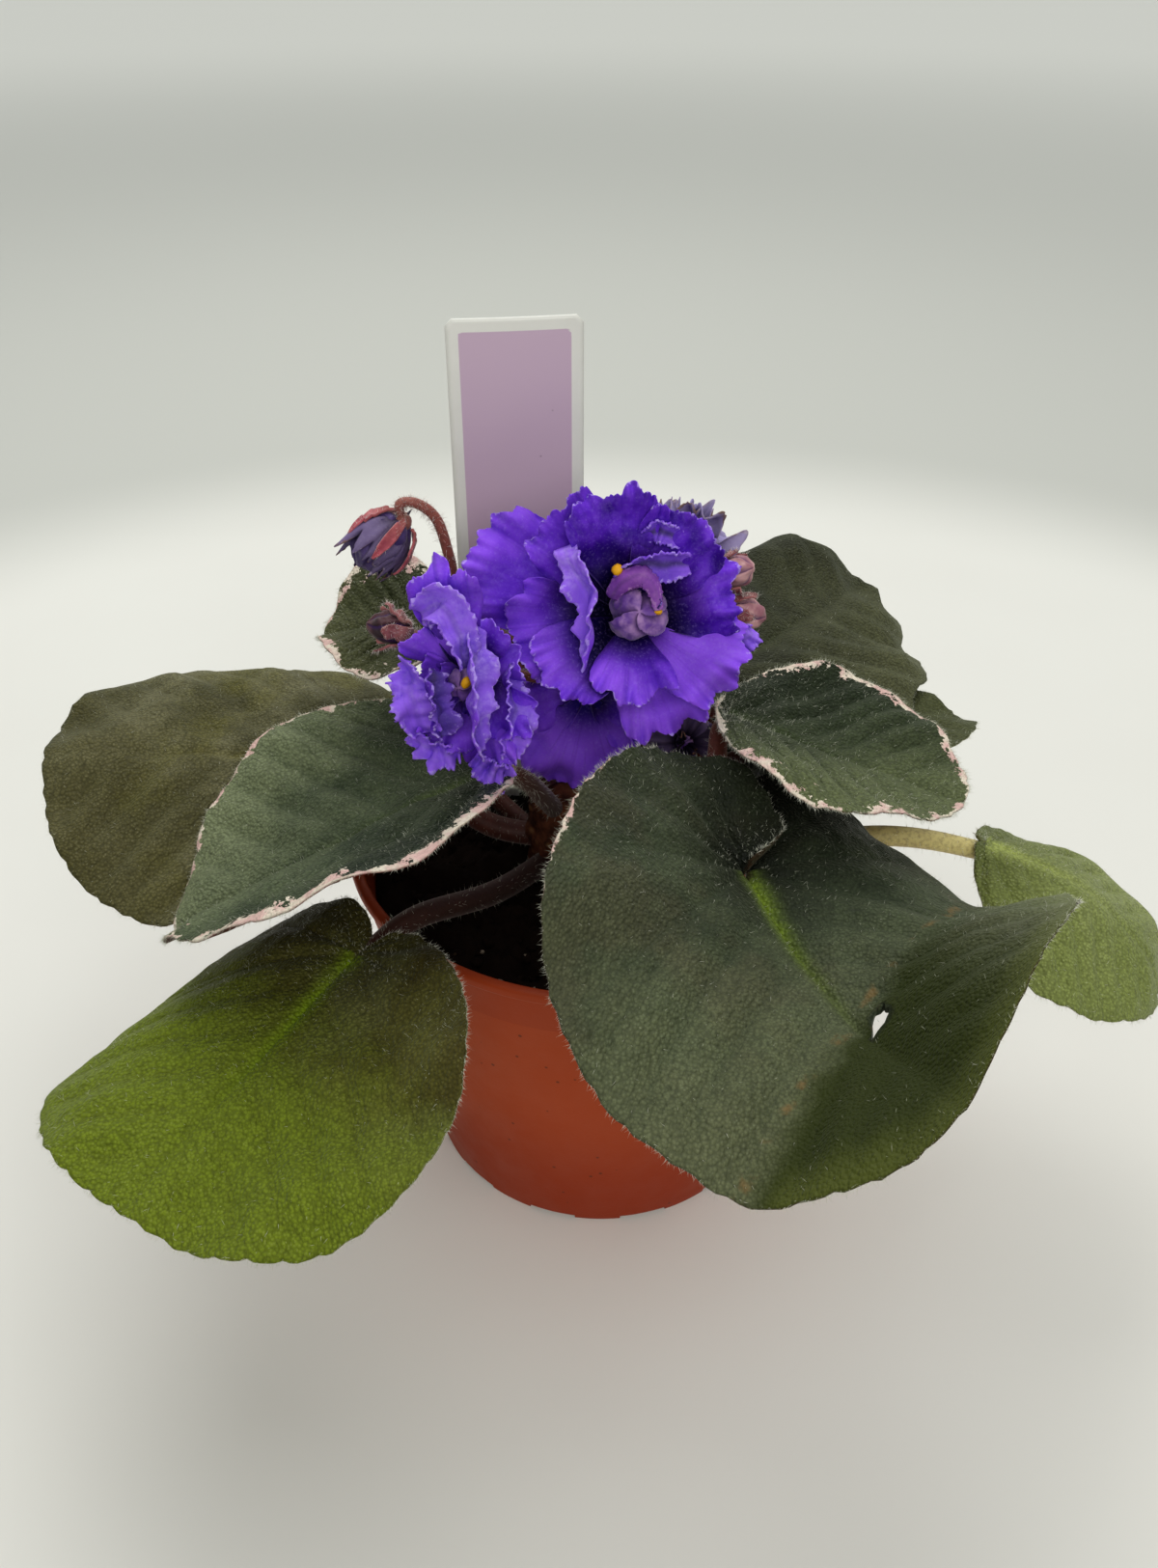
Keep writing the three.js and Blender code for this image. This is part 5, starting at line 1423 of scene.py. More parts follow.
BLOOMS = [
    dict(name="bloom_main", slot="petal", at=(4.4, -1, 124.4), faces=-88, tilt=31, core=3.4, petals=[
        turned(OUTER, 158, 31, spread=29, lift=(20, 2), tone=0.4),
        turned(OUTER, 99, 25.5, lift=(44, 24), tone=0.0),
        turned(OUTER, 129, 25.5, spread=27, lift=(36, 18), tone=0.1),
        turned(OUTER, 55, 24, lift=(46, 26), tone=0.0),
        turned(OUTER, 16, 22, lift=(42, 14), tone=0.2, lean=0.15, well=0.08),
        turned(OUTER, -72, 23, spread=28, lift=(20, -6), tone=0.8),
        turned(OUTER, -30, 23.5, lift=(38, 6), tone=1.1, lean=0.45, well=-0.16),
        turned(OUTER, -170, 24, lift=(40, 10), tone=0.45, lean=0.3, well=0.18),
        turned(OUTER, -140, 23, lift=(46, 20), tone=0.5, lean=-0.45, well=0.22, foot=(0, 0, 1)),
        turned(OUTER, -91, 18.8, spread=40, lift=(58, 16), tone=0.45, lean=-0.15, foot=(0, -0.6, 2.8)),
        turned(INNER, 30, 12, lift=(72, 60), tone=0.0),
        turned(INNER, 85, 13, lift=(70, 62), tone=0.0),
    ], strips=[
        dict(STRIP,
             path=[(-8.4, -13, 8), (-8.6, -7, 11), (-7.2, -0.5, 12.4), (-8.8, 5.4, 13.2), (-11.6, 11.4, 12)],
             width=(1.6, 7), twist=(84, 12), curl=0.6, tone=(0.5, 1.0), frost=0.5),
        dict(STRIP, path=[(-2.8, 6.8, 10), (1.6, 8.4, 12), (5.8, 8.4, 12.5), (9.6, 8.6, 11)],
             width=(4.5, 6), twist=(-50, -15), curl=0.8, tone=(0.1, 0.5), well=0.14, frost=0, rough=0.35),
        dict(STRIP, path=[(1.8, 13.6, 10), (5, 14.2, 11.4), (9.4, 12, 11)],
             width=(3.4, 4.4), twist=(-40, -10), curl=0.7, tone=(0.0, 0.4), well=0.14, frost=0, rough=0.3),
        dict(STRIP, path=[(17.6, -9, 1), (19.6, -5.4, 3), (22.4, -2.4, 3)],
             width=(3.4, 5), twist=(30, -30), curl=0.6, tone=(0.1, 0.5)),
    ], heart=dict(at=(1.2, 0.2, 8), radii=(5.6, 5.2, 4.6)),
        anthers=[(-2.6, 7.4, 12), (-1.8, 6.8, 11.8), (4.4, 0.2, 12)]),
    dict(name="bloom_left", slot="petal", at=(-22.9, -16, 120.6), faces=-96, tilt=20, core=2.5, petals=[
        turned(OUTER, 105, 21, spread=24, lift=(30, 10), tone=0.3),
        turned(OUTER, 138, 14, spread=28, lift=(40, 12), tone=0.6),
        turned(OUTER, 66, 12, spread=30, lift=(30, 12), tone=0.1),
        turned(OUTER, 22, 10, spread=30, lift=(20, 6), tone=0.1),
        turned(OUTER, 176, 11, lift=(46, 20), tone=0.6),
        turned(OUTER, -147, 13.5, spread=32, lift=(42, 12), tone=0.6),
        turned(OUTER, -108, 14, spread=32, lift=(38, 8), tone=0.45),
        turned(OUTER, -70, 16.5, spread=26, lift=(28, 4), tone=0.5),
        turned(OUTER, -36, 14, spread=30, lift=(30, 16), tone=0.1),
        turned(INNER, 165, 9.5, lift=(66, 50), tone=0.8),
        turned(INNER, -140, 10, lift=(66, 50), tone=0.3),
        turned(INNER, -70, 11, lift=(66, 50), tone=0.0),
    ], strips=[
        dict(STRIP, path=[(-7.6, 11.6, 7), (-3.8, 13, 9.5), (-0.6, 9.4, 11), (0.2, 3, 10.5)],
             width=(7, 6.5), twist=(-20, 60), curl=0.7, tone=(0.6, 0.1), frost=0.3, rough=0.6),
        dict(STRIP, path=[(0.4, 9.3, 7), (2.2, 3.4, 10.5), (2.2, -4, 11.5), (3, -12, 9)],
             width=(6.5, 7.5), twist=(60, 80), curl=0.7, tone=(0.3, 0.4), frost=0.45, rough=0.5),
        dict(STRIP, path=[(6.2, 2.4, 3), (8.4, -5.4, 6), (7.4, -12.8, 5)],
             width=(5.5, 6.5), twist=(75, 40), curl=0.7, tone=(-0.2, 0.7), rough=0.7),
        dict(STRIP, path=[(-10.4, 2.6, 5), (-8.6, -3, 8), (-7, -9.6, 7)],
             width=(6, 7.5), twist=(-30, 35), curl=0.6, tone=(0.7, 0.8)),
        dict(STRIP, path=[(-5.6, 2.2, 8.5), (-4.4, -3.6, 9.5), (-3.2, -9.6, 8)],
             width=(5, 6), twist=(70, 50), curl=0.7, tone=(-0.3, 0.0), frost=0),
        dict(STRIP, path=[(-9.6, -10.4, 4), (-5.4, -12.6, 6), (-1, -12.4, 5)],
             width=(4, 5.5), twist=(10, -30), curl=0.6, tone=(0.7, 0.9)),
        dict(STRIP, path=[(1.6, -13.4, 5), (4.8, -15.8, 5), (8, -16.4, 3)],
             width=(4.5, 5), twist=(10, -20), curl=0.6, tone=(0.4, 0.8)),
    ], heart=dict(at=(-1, -1, 4.5), radii=(2.6, 3.2, 2.6)), anthers=[(0.8, 0.5, 9.6)]),
    dict(name="bloom_low", slot="petal", at=(-3, 2.8, 107), faces=-92, tilt=12, core=2.4, petals=[
        turned(OUTER, -96, 20.5, spread=50, lift=(16, -2), tone=1.9),
        turned(SMALL, -28, 14, lift=(16, 0), tone=0.3),
        turned(SMALL, -158, 13, lift=(16, 0), tone=0.3),
        turned(SMALL, 100, 9, lift=(30, 10), tone=0.1),
    ]),
    dict(name="bloom_back", slot="petal_faded", at=(14.5, 12.5, 133), faces=60, tilt=34, core=2.2, petals=[
        turned(CRINKLED, 95, 9.2, tone=0.9),
        turned(CRINKLED, 20, 8.4, tone=0.7),
        turned(CRINKLED, -50, 8, tone=0.7),
        turned(CRINKLED, 155, 10, lift=(30, 0), tone=1.0),
        turned(CRINKLED, -120, 9, lift=(20, 0), tone=0.7),
        turned(CRINKLED, 60, 7.5, lift=(60, 30), tone=1.0),
        turned(CRINKLED, 125, 7.5, lift=(64, 40), tone=0.8),
    ]),
    dict(name="bloom_faded", slot="petal_faded", at=(15.8, 1.5, 96.5), faces=-92, tilt=22, core=2, petals=[
        turned(CRINKLED, 8, 8.5, lift=(40, 10), tone=0.8),
        turned(CRINKLED, 80, 7.5, lift=(50, 20), tone=0.6),
        turned(CRINKLED, 170, 8, lift=(40, 10), tone=0.8),
        turned(CRINKLED, -95, 7, lift=(50, 30), tone=0.6),
        turned(CRINKLED, -50, 6, lift=(74, 60), tone=0.3),
        turned(CRINKLED, 130, 6, lift=(74, 60), tone=0.5),
    ]),
]
print(sum(len(bloom["petals"]) for bloom in BLOOMS), "petals on", len(BLOOMS), "blooms")

# %% Petal formula
PETAL_SHOULDER = 0.16
PETAL_CORNER = 8
PETAL_THICKNESS = 0.4
PETAL_ROWS = 27
PETAL_COLS = 126
FULL_GRID_REACH = 22
COARSER = 0.75
PETAL_PAINTED_SHEEN = 0.14
FRILL_LENGTH = 2.6
FRILL = 0.7
WAVE_LENGTH = 8.5
WAVE = 0.75
LUMP_LENGTH = 9
LUMP = 1.0
LOBE_LENGTH = 5
LOBE = 0.75
TOOTH_LENGTH = 1.45
TOOTH = 0.5


def face_axes(head):
    """Right, up and outward direction of a bloom or bud, as the rows of a matrix."""
    faces, tilt = math.radians(head["faces"]), math.radians(head["tilt"])
    out = np.array([math.cos(tilt) * math.cos(faces), math.cos(tilt) * math.sin(faces), math.sin(tilt)])
    right = np.array([-math.sin(faces), math.cos(faces), 0])
    return np.stack([right, np.cross(out, right), out])


def placed(head, x, y, z):
    """Points given right, up and outward of a bloom or bud, in the frame of the plant."""
    return np.array(head["at"]) + np.stack(np.broadcast_arrays(x, y, z), -1) @ face_axes(head)


def petal_shell(bloom, petal, seed):
    """Along a ray the slope goes evenly from lift[0] to lift[1], so the way out is the integral of
    its cosine and the height that of its sine. The reach falls off to the petal's corners, and the
    edge is toothed and frilled by noise that runs along it. A short petal has a coarser grid."""
    fine = min(1, petal["reach"] / FULL_GRID_REACH) ** COARSER
    share = 1 - (1 - np.linspace(0, 1, round(PETAL_ROWS * fine))[:, None]) ** 1.35
    even = np.linspace(-1, 1, round(PETAL_COLS * fine))[None, :]
    ray = 0.6 * even + 0.4 * np.sin(math.pi / 2 * even)
    rim = petal["reach"] * math.radians(petal["spread"]) * ray

    def along_rim(size, number):
        return wobble(rim[..., None] * [1, 0], size, seed + number)

    corner = np.sqrt(1 - np.abs(ray) ** PETAL_CORNER)
    reach = petal["reach"] * (1 - PETAL_SHOULDER * np.abs(ray) ** 2.6) * corner
    tooth = np.abs(np.sin(math.pi * (rim + 0.4 * along_rim(3, 1)) / TOOTH_LENGTH)) - 0.64
    reach = reach + share**12 * corner * (LOBE * along_rim(LOBE_LENGTH, 0) + TOOTH * tooth)
    start = math.radians(petal["lift"][0])
    change = math.radians(petal["lift"][1] - petal["lift"][0])
    distance = (np.sin(start + change * share) - math.sin(start)) / change * reach
    height = (math.cos(start) - np.cos(start + change * share)) / change * reach
    aside = np.radians(petal["spread"] * 1.12) * ray
    angle = math.radians(petal["turn"]) + aside
    ruffle = petal["ruffle"] * share**2 * np.sin(petal["ruffles"] * math.pi * ray + petal["turn"])
    frill = WAVE * share**4 * along_rim(WAVE_LENGTH, 2) + FRILL * share**10 * along_rim(FRILL_LENGTH, 3)
    flat = np.stack([distance * np.cos(angle), distance * np.sin(angle)], -1)
    lumps = LUMP * share**1.5 * wobble(flat, LUMP_LENGTH, seed + 4)
    lift = height + ruffle + frill + lumps
    foot = petal["foot"]
    middle = placed(bloom, flat[..., 0] + foot[0], flat[..., 1] + foot[1], lift + foot[2])
    thickness = PETAL_THICKNESS * (1.15 - 0.7 * share) * np.ones_like(ray)
    edge = (1 - share) * petal["reach"] + 8 * (1 - corner)
    tone = petal["tone"] + petal["lean"] * ray
    share = distance / petal["reach"] - petal["well"]
    frost = PETAL_PAINTED_SHEEN * share
    return sheet_shell(middle, thickness, share=share, edge=edge, tone=tone, across=rim, frost=frost)


# %% [markdown]
# ## Petal finish
# A petal's skin is made of tiny cone-shaped cells, so it looks like velvet: deep and saturated where
# one looks straight into it, pale where the light grazes it. Sheen does that. Colour runs from painted
# shade, nearly black violet, at the throat to bright violet, with painted light and shade from petal
# to petal, thin veins and a hairline of white at the teeth.

# %% Petal finishes
# Painted shade, nearly black, deep in the throat.
THROAT_DARK = (3, 0, 30)


def petal_finish(name, deep, body, bright, rim, brown=0.0):
    """From body to bright by tone, which is painted light and shade, with painted shade deep at the foot
    and nearly black in the throat, veins, painted sheen in patches, painted sparkle, a pale rim by the
    distance from the edge, and on faded petals a brown one."""
    recipe = Recipe(name, roughness=0.55, specular=0.1)
    recipe.sheen(0.16, bright, 0.4)
    share = recipe.attribute("share")
    patch = recipe.times(recipe.patches(8, 3, 0.3, 0.7), 0.5)
    tone = recipe.plus(recipe.attribute("tone"), patch)
    # The tone is painted light and shade, brighter or darker petal by petal and to one side.
    recipe.paint(recipe.step(tone, 0.1, 1.1), body, bright)
    # Painted shade: deep at each petal's foot, and where its tone is low.
    recipe.cover(recipe.step(share, 0.15, 0.6, 1, 0), deep)
    recipe.cover(recipe.step(tone, 0.0, 0.5, 0.75, 0), deep)
    recipe.cover(recipe.step(share, 0.66, 0.95, 0, 0.4), bright)
    # Painted shade, nearly black, in the throat, reaching as far out as the well says.
    well = recipe.plus(share, recipe.times(recipe.attribute("tone"), 0.3))
    recipe.cover(recipe.step(well, 0.2, 0.66, 0.95, 0), THROAT_DARK)
    lines = recipe.node("ShaderNodeCombineXYZ")
    recipe.feed(lines.inputs["X"], recipe.attribute("across"))
    recipe.feed(lines.inputs["Y"], recipe.times(share, 1.5))
    veins = recipe.noise(1.3, 2, lines.outputs["Vector"])
    recipe.cover(recipe.step(veins, 0.5, 0.75, 0, 0.2), deep)
    # Painted sheen: pale streaks and grains in patches, a highlight as on velvet where the light catches it.
    grains = recipe.patches(0.8, 4, 0.3, 0.7)
    frost = recipe.plus(recipe.step(veins, 0.5, 0.25, 0, 0.6), grains)
    frost = recipe.times(frost, recipe.patches(5, 2, 0.4, 0.65))
    frost = recipe.times(frost, recipe.attribute("frost"))
    recipe.cover(frost, rim)
    # Painted sparkle: tiny points of painted highlight.
    painted_sparkle = recipe.step(recipe.noise(0.5, 3, roughness=0.65), 0.5, 0.75, 0, 0.16)
    recipe.cover(painted_sparkle, rim)
    edge = recipe.attribute("edge")
    torn = recipe.minus(recipe.patches(1.1, 3, 0.45, 0.75, 0, 0.9), edge)
    recipe.cover(recipe.step(torn, -0.1, 0.4, 0, 0.8), rim)
    if brown:
        dry = recipe.minus(recipe.patches(4, 4, 0.4, 0.7, 0, brown), edge)
        recipe.cover(recipe.step(dry, -0.2, 0.4), (112, 84, 62))
    recipe.cover(recipe.times(recipe.attribute("under"), 0.18), rim)
    skin = recipe.bump(recipe.noise(0.45, 2), 0.12, 0.6)
    return recipe.done(recipe.bump(veins, 0.12, 0.5, under=skin))


VIOLET = petal_finish(
    "petal_violet", (30, 0, 106), (88, 32, 184), (142, 86, 226), (178, 156, 230))
FADED = petal_finish(
    "petal_faded", (70, 50, 110), (116, 102, 150), (152, 142, 184), (178, 168, 188), 0.7)
WITHERED = petal_finish(
    "petal_withered", (38, 26, 54), (78, 64, 94), (104, 90, 122), (130, 108, 108), 1.0)
DUSKY = petal_finish(
    "petal_dusky", (44, 30, 76), (84, 68, 116), (120, 104, 150), (168, 156, 176), 0.8)


def heart_finish(name, low, high, streak):
    """Two shades in patches, upright streaks of painted highlight, and painted shade in a line where one fold
    laps over the next.
    """
    recipe = Recipe(name, roughness=0.5, specular=0.3)
    recipe.sheen(0.2)
    recipe.paint(recipe.patches(3.5, 3, 0.35, 0.65), low, high)
    grain = recipe.noise(0.9, 3, recipe.stretch(recipe.place, (1, 1, 0.35)))
    # Upright streaks of painted highlight.
    recipe.cover(recipe.step(grain, 0.5, 0.7, 0, 0.7), streak)
    # Painted shade where one fold laps over the next.
    recipe.cover(recipe.step(recipe.attribute("fold"), 0.55, 1.0, 0, 0.75), (60, 30, 96))
    return recipe.done(recipe.bump(recipe.noise(1.1, 3), 0.25, 0.7))


LILAC_HEART = heart_finish("heart_lilac", (104, 66, 146), (176, 140, 188), (232, 214, 222))


# %% Hearts, strips and anthers
STRIP_THICKNESS = 0.35
STRIP_GRID = (46, 14)
BALL_GRID = (36, 80)
# Number, twist and depth of the folds
THROAT_FOLDS = (5, 0.4, 0.12)
HEART_FOLDS = (4, 1.3, 0.34)
BUD_FOLDS = (5, 0.8, 0.2)
ANTHER_SIZES = (1.1, 0.7)


def folded_ball(head, centre, radii, folds, twist, depth, seed):
    """A ball of overlapping rolled petals. Its radius is 1 - depth s, where s climbs like a saw's
    tooth round the ball and turns with the height, so each fold laps over the next."""
    rows, cols = BALL_GRID
    polar = np.linspace(0, math.pi, rows)[:, None]
    turn = np.linspace(0, 2 * math.pi, cols, endpoint=False)[None, :]
    saw = (folds * turn / (2 * math.pi) + twist * polar / math.pi + 0.12 * np.sin(3 * polar + turn)) % 1
    radius = 1 - depth * saw**2 * np.sin(polar) ** 0.5
    x = radius * np.sin(polar) * np.cos(turn) * radii[0] + centre[0]
    y = radius * np.sin(polar) * np.sin(turn) * radii[1] + centre[1]
    z = -radius * np.cos(polar) * radii[2] + centre[2]
    points = placed(head, x, y, z)
    points = points + 0.12 * wobble(points, 2.4, seed)[..., None] * unit(points - points.mean((0, 1)))
    return points.reshape(-1, 3), [grid_faces(rows, cols, around=True)], {"fold": saw.ravel()}


def curled_strip(head, strip, seed):
    """A small petal along a path over the bloom's face: a strip whose width and twist change along
    the path, with its sides curled up and its edges ruffled."""
    rows, cols = STRIP_GRID
    share = np.linspace(0, 1, rows)[:, None]
    side = np.linspace(-1, 1, cols)[None, :]
    path = placed(head, *smooth_path(strip["path"], rows).T)
    along = unit(np.gradient(path, axis=0))
    level = unit(np.cross(along, face_axes(head)[2]))
    upright = np.cross(level, along)
    twist = np.radians(lerp(strip["twist"], share))
    across = level * np.cos(twist) + upright * np.sin(twist)
    lifted = np.cross(across, along)
    half = lerp(strip["width"], share) / 2 * np.sin(math.pi * (0.1 + 0.8 * share)) ** 0.6
    spot = np.stack(np.broadcast_arrays(share * 22, side * half), -1)
    rough = 0.7 * wobble(spot, 6, seed) + 0.5 * wobble(spot, 2.6, seed + 2) * np.abs(side) ** 5
    rise = strip["curl"] * side**2 * half + strip["rough"] * rough
    tone = lerp(strip["tone"], share) + 0 * side
    tooth = 1 + 0.08 * wobble(share * [30, 0], 1.5, seed + 1)[:, None] * np.abs(side) ** 4
    middle = path[:, None] + across[:, None] * (half * side * tooth)[..., None]
    middle = middle + lifted[:, None] * rise[..., None]
    return sheet_shell(
        middle, np.full(middle.shape[:2], STRIP_THICKNESS),
        share=0.4 - strip["well"] + 0.55 * np.abs(side) + 0 * share,
        edge=(1 - np.abs(side)) * half, tone=tone, across=side * half, frost=strip["frost"])


def core_shell(bloom):
    """The round throat from which the petals grow."""
    size = bloom["core"]
    return folded_ball(bloom, (0, 0, 0.6), (size, size, size), *THROAT_FOLDS, 5)


def anther_finish():
    """Pollen yellow with a grainy skin."""
    recipe = Recipe("anther_yellow", roughness=0.45, specular=0.3)
    recipe.paint(recipe.noise(0.8, 3), (206, 140, 10), (240, 190, 40))
    return recipe.done(recipe.bump(recipe.noise(0.4, 2), 0.1, 0.6))


# %% Build the blooms
PETAL_SKINS = {"bloom_back": FADED, "bloom_faded": WITHERED}
MAGENTA = petal_finish(
    "petal_magenta", (66, 16, 116), (104, 38, 148), (140, 74, 174), (186, 140, 198))
ARCH = dict(
    STRIP, path=[(-3.8, 2.6, 10.5), (-1.8, 5.2, 12.8), (1.4, 6.4, 13.8), (3.6, 4.4, 14), (4.6, 0.4, 13)],
    width=(4.4, 2.6), twist=(0, 10), curl=-0.8, tone=(0.1, 0.6), rough=0.25)


def add_bloom(bloom, seed):
    """Petals and strips in one piece, then the throat, and on a double bloom its heart and anthers."""
    skin = PETAL_SKINS.get(bloom["name"], VIOLET)
    petals = [petal_shell(bloom, petal, seed + 7 * i) for i, petal in enumerate(bloom["petals"])]
    strips = enumerate(bloom.get("strips", []))
    petals += [curled_strip(bloom, strip, seed + 80 + i) for i, strip in strips]
    add_piece(bloom["name"] + ".petals", petals, skin, [bloom["name"]])
    add_piece(bloom["name"] + ".throat", [core_shell(bloom)], LILAC_HEART)
    if "heart" in bloom:
        heart = bloom["heart"]
        ball_of_petals = folded_ball(bloom, heart["at"], heart["radii"], *HEART_FOLDS, seed)
        add_piece(bloom["name"] + ".heart", [ball_of_petals], LILAC_HEART)
        spots = np.array(bloom["anthers"])
        sizes = np.linspace(*ANTHER_SIZES, len(spots))
        anthers = lump_shell(placed(bloom, *spots.T), sizes, seed, 0.08, 2)
        add_piece(bloom["name"] + ".anthers", [anthers], anther_finish())


for number, bloom in enumerate(BLOOMS):
    add_bloom(bloom, 1000 + 100 * number)
add_piece("bloom_main.arch", [curled_strip(BLOOMS[0], ARCH, 77)], MAGENTA)

# %% [markdown]
# ## Buds
# A bud is a ball of petals that are still rolled round each other, held in five hairy sepals. The ball
# is a closed surface whose radius follows a saw-tooth round it, so that each petal laps over the next.

# %% Bud sizes
# sepals gives a sepal's half width, as an angle round the bud, and how far its tip stands off. hairs
# is the number of hairs on each. OPENING is the ring of petals that the hanging bud begins to unroll.
BUDS = [
    dict(name="bud_hanging", slot="petal_faded", at=(-40.6, 4.6, 136.2), faces=-154, tilt=-40, radius=5,
         long=6, sepals=(0.21, 0.3), hairs=26),
    dict(name="bud_left", slot="bud", at=(-37.6, -11.6, 127.4), faces=-170, tilt=20, radius=2.8, long=3.9,
         sepals=(0.42, 1.5), hairs=110),
    dict(name="bud_right_high", slot="bud", at=(23.4, 6, 130.4), faces=-20, tilt=20, radius=3, long=4,
         sepals=(0.5, 0.5), hairs=90),
    dict(name="bud_right_low", slot="bud", at=(25.6, 4, 123), faces=-10, tilt=-6, radius=3.2, long=4.2,
         sepals=(0.5, 0.5), hairs=90),
]
SEPALS = 5
SEPAL_SPREAD = 1.1
SEPAL_THICKNESS = 0.55
SEPAL_GRID = (24, 11)
SEPAL_RUN = (25, 115)
UNROLLING = dict(CRINKLED, spread=42, ruffle=1.1, foot=(0, 0, -5.4))
OPENING = [
    turned(UNROLLING, 10, 11.6, lift=(12, 116), tone=0.3),
    turned(UNROLLING, 75, 12, lift=(12, 108), tone=0.5),
    turned(UNROLLING, 140, 11.6, lift=(12, 118), tone=0.2),
    turned(UNROLLING, 205, 11.2, lift=(12, 124), tone=0.3),
    turned(UNROLLING, 270, 11.8, lift=(12, 106), tone=0.1),
    turned(UNROLLING, 330, 11.6, lift=(12, 120), tone=0.4),
]


def sepal_shell(bud, turn, seed):
    """A pointed sheet over the side of the ball, between two angles in degrees from the stalk."""
    rows, cols = SEPAL_GRID
    share = np.linspace(0, 1, rows)[:, None]
    side = np.linspace(-1, 1, cols)[None, :]
    polar = np.radians(lerp(SEPAL_RUN, share))
    width, open_by = bud["sepals"]
    half = width * np.sin(math.pi * (0.25 + 0.74 * share)) ** 0.8
    angle = math.radians(turn) + half * side
    off = bud["radius"] * (SEPAL_SPREAD + 0.06 * side**2 + open_by * np.clip(share - 0.6, 0, 1))
    out = off * np.sin(polar)
    tall = -bud["long"] * 1.06 * np.cos(polar) + 0 * side
    middle = placed(bud, out * np.cos(angle), out * np.sin(angle), tall)
    middle = middle + 0.15 * wobble(middle, 2, seed)[..., None]
    thickness = np.full(middle.shape[:2], SEPAL_THICKNESS) * (1 - 0.4 * share)
    return sheet_shell(middle, thickness, edge=half * (1 - np.abs(side)), along=share), middle


def sepal_finish(name, low, high):
    """Red-brown in two shades, greener where the sepal leaves the stalk."""
    recipe = Recipe(name, roughness=0.55, specular=0.25)
    recipe.sheen(0.35)
    recipe.paint(recipe.patches(2.4, 3, 0.35, 0.65), low, high)
    recipe.cover(recipe.step(recipe.attribute("along"), 0.0, 0.8, 0.3, 0), (120, 104, 70))
    return recipe.done(recipe.bump(recipe.noise(0.7, 3), 0.15, 0.7))


HANGING_HEART = heart_finish("bud_petals", (60, 44, 92), (92, 74, 126), (144, 126, 156))
PINK_HEART = heart_finish("bud_pink", (146, 98, 110), (190, 150, 150), (218, 196, 186))
DARK_HEART = heart_finish("bud_dark", (44, 26, 34), (84, 52, 58), (140, 104, 110))
RED_SEPAL = sepal_finish("sepal_red", (144, 62, 76), (186, 98, 108))
BROWN_SEPAL = sepal_finish("sepal_brown", (112, 56, 60), (164, 108, 106))
BUD_SKINS = {"bud_hanging": (HANGING_HEART, RED_SEPAL), "bud_left": (DARK_HEART, BROWN_SEPAL)}
BUD_HAIR = hair_finish("bud_hairs", (222, 204, 200))


def add_bud(bud, seed):
    """The rolled petals, the opening ones of the hanging bud, five sepals and their hairs."""
    radii = (bud["radius"], bud["radius"], bud["long"])
    ball_of_petals = folded_ball(bud, (0, 0, 0), radii, *BUD_FOLDS, seed)
    heart, sepal_skin = BUD_SKINS.get(bud["name"], (PINK_HEART, BROWN_SEPAL))
    add_piece(bud["name"] + ".petals", [ball_of_petals], heart, [bud["name"]])
    if bud["name"] == "bud_hanging":
        petals = [petal_shell(bud, petal, seed + 50 + i) for i, petal in enumerate(OPENING)]
        add_piece(bud["name"] + ".opening", petals, DUSKY)
    made = [sepal_shell(bud, 360 / SEPALS * i + 20, seed + i) for i in range(SEPALS)]
    add_piece(bud["name"] + ".sepals", [shell for shell, _ in made], sepal_skin)
    hairs = []
    for i, (_, middle) in enumerate(made):
        root, normal, _, draw = scattered(middle, grid_normals(middle), bud["hairs"], seed + 30 + i)
        outward = unit(root - np.array(bud["at"]))
        lean = unit(outward + 0.5 * draw.normal(size=root.shape))
        hairs.append(hair_shell(root, root + lean * draw.uniform(*LONG_HAIR, (bud["hairs"], 1))))
    add_piece(bud["name"] + ".hairs", hairs, BUD_HAIR, weld=False)


for number, bud in enumerate(BUDS):
    add_bud(bud, 2000 + 100 * number)

# %% [markdown]
# ## Flower stalk
# One stalk leaves the crown and forks to every bloom and bud. Each branch is a tube along a smooth
# curve, a little thinner at its end, with a small cup under the bloom, and hairs all round.

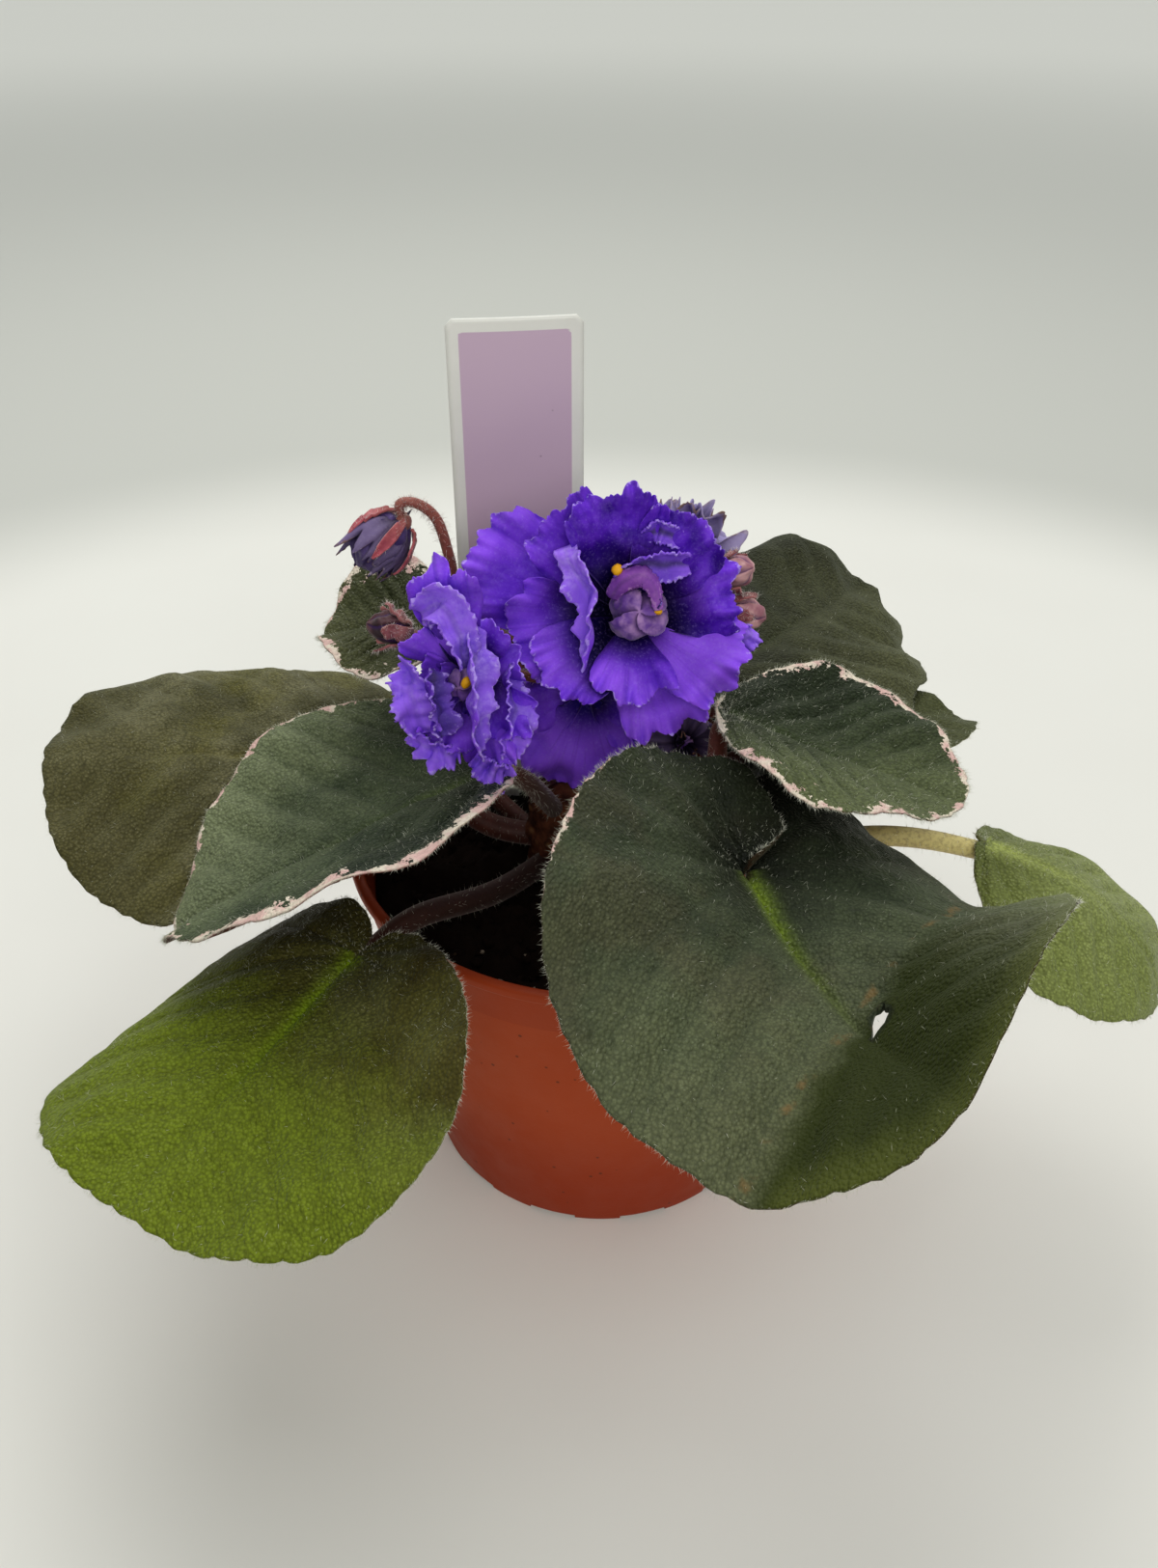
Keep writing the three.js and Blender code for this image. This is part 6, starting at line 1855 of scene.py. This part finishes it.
# %% Flower stalk
# A branch leads from the fork to a bloom or bud, by the places given, with a radius of its own.
STALK_FORK = (4, 8, 104)
PEDUNCLE = [(-8, -2, 84), (-5, 7, 92), (0, 9, 98), STALK_FORK]
PEDUNCLE_RADII = [1.9, 1.8, 1.7, 1.6]
PEDUNCLE_STEPS = 40
BRANCH_STEPS = 20
STEPS_PER_PLACE = 14
HAIRS_PER_STEP = 9
HANGING_COURSE = [
    (-18, 9, 114), (-27, 7.4, 123), (-28.6, 6.8, 132),
    (-30.4, 6.5, 139.6), (-33.6, 6.4, 142.8), (-36.8, 6, 143)]
BRANCHES = [
    ("bloom_main", [(4, 9, 116)], 1.3),
    ("bloom_left", [(-8, 4, 113)], 1.2),
    ("bloom_low", [(2, 8, 107)], 1.1),
    ("bloom_back", [(9, 11, 114)], 1.1),
    ("bloom_faded", [(11, 12, 100)], 1.1),
    ("bud_hanging", HANGING_COURSE, 1),
    ("bud_left", [(-14, 2, 110), (-27, -6, 121)], 0.9),
    ("bud_right_high", [(14, 10, 116)], 0.9),
    ("bud_right_low", [(14, 9, 110)], 0.9),
]


def branches():
    """Path and radii of the peduncle and of each branch, with the place and size of each cup. A branch
    ends behind the bloom, at the back of its throat, or at the foot of the bud."""
    heads = {head["name"]: head for head in BLOOMS + BUDS}
    paths = [(smooth_path(PEDUNCLE, PEDUNCLE_STEPS), PEDUNCLE_RADII)]
    cups = []
    for name, via, radius in BRANCHES:
        head = heads[name]
        is_bud = "long" in head
        depth = head["long"] * 0.9 if is_bud else head["core"] + 0.6
        end = placed(head, 0, 0, -depth)
        path = smooth_path([STALK_FORK, *via, end], BRANCH_STEPS + STEPS_PER_PLACE * len(via))
        paths.append((path, [radius, radius, radius * 0.85]))
        cups.append((*end, head["radius"] * 0.36 if is_bud else head["core"] * 0.75))
    return paths, np.array(cups)


def add_stalk():
    """All the branches in one piece, the cups under the blooms and buds, and hairs all along."""
    skin = stalk_finish("stalk_skin", (112, 66, 54), (140, 82, 72), (150, 96, 88))
    paths, cups = branches()
    shells = [tube_shell(path, radii) for path, radii in paths]
    add_piece("flower_stalk.branches", shells, skin, ["flower_stalk"])
    points, faces, _ = lump_shell(cups[:, :3], cups[:, 3], 55, 0.03, 3)
    cup_shell = (points, faces, {"along": np.full(len(points), 0.9)})
    add_piece("flower_stalk.cups", [cup_shell], skin)
    hairs = [
        tube_hairs(path, radii, HAIRS_PER_STEP * len(path), 500 + i)
        for i, (path, radii) in enumerate(paths)]
    add_piece("flower_stalk.hairs", hairs, BUD_HAIR, weld=False)


add_stalk()
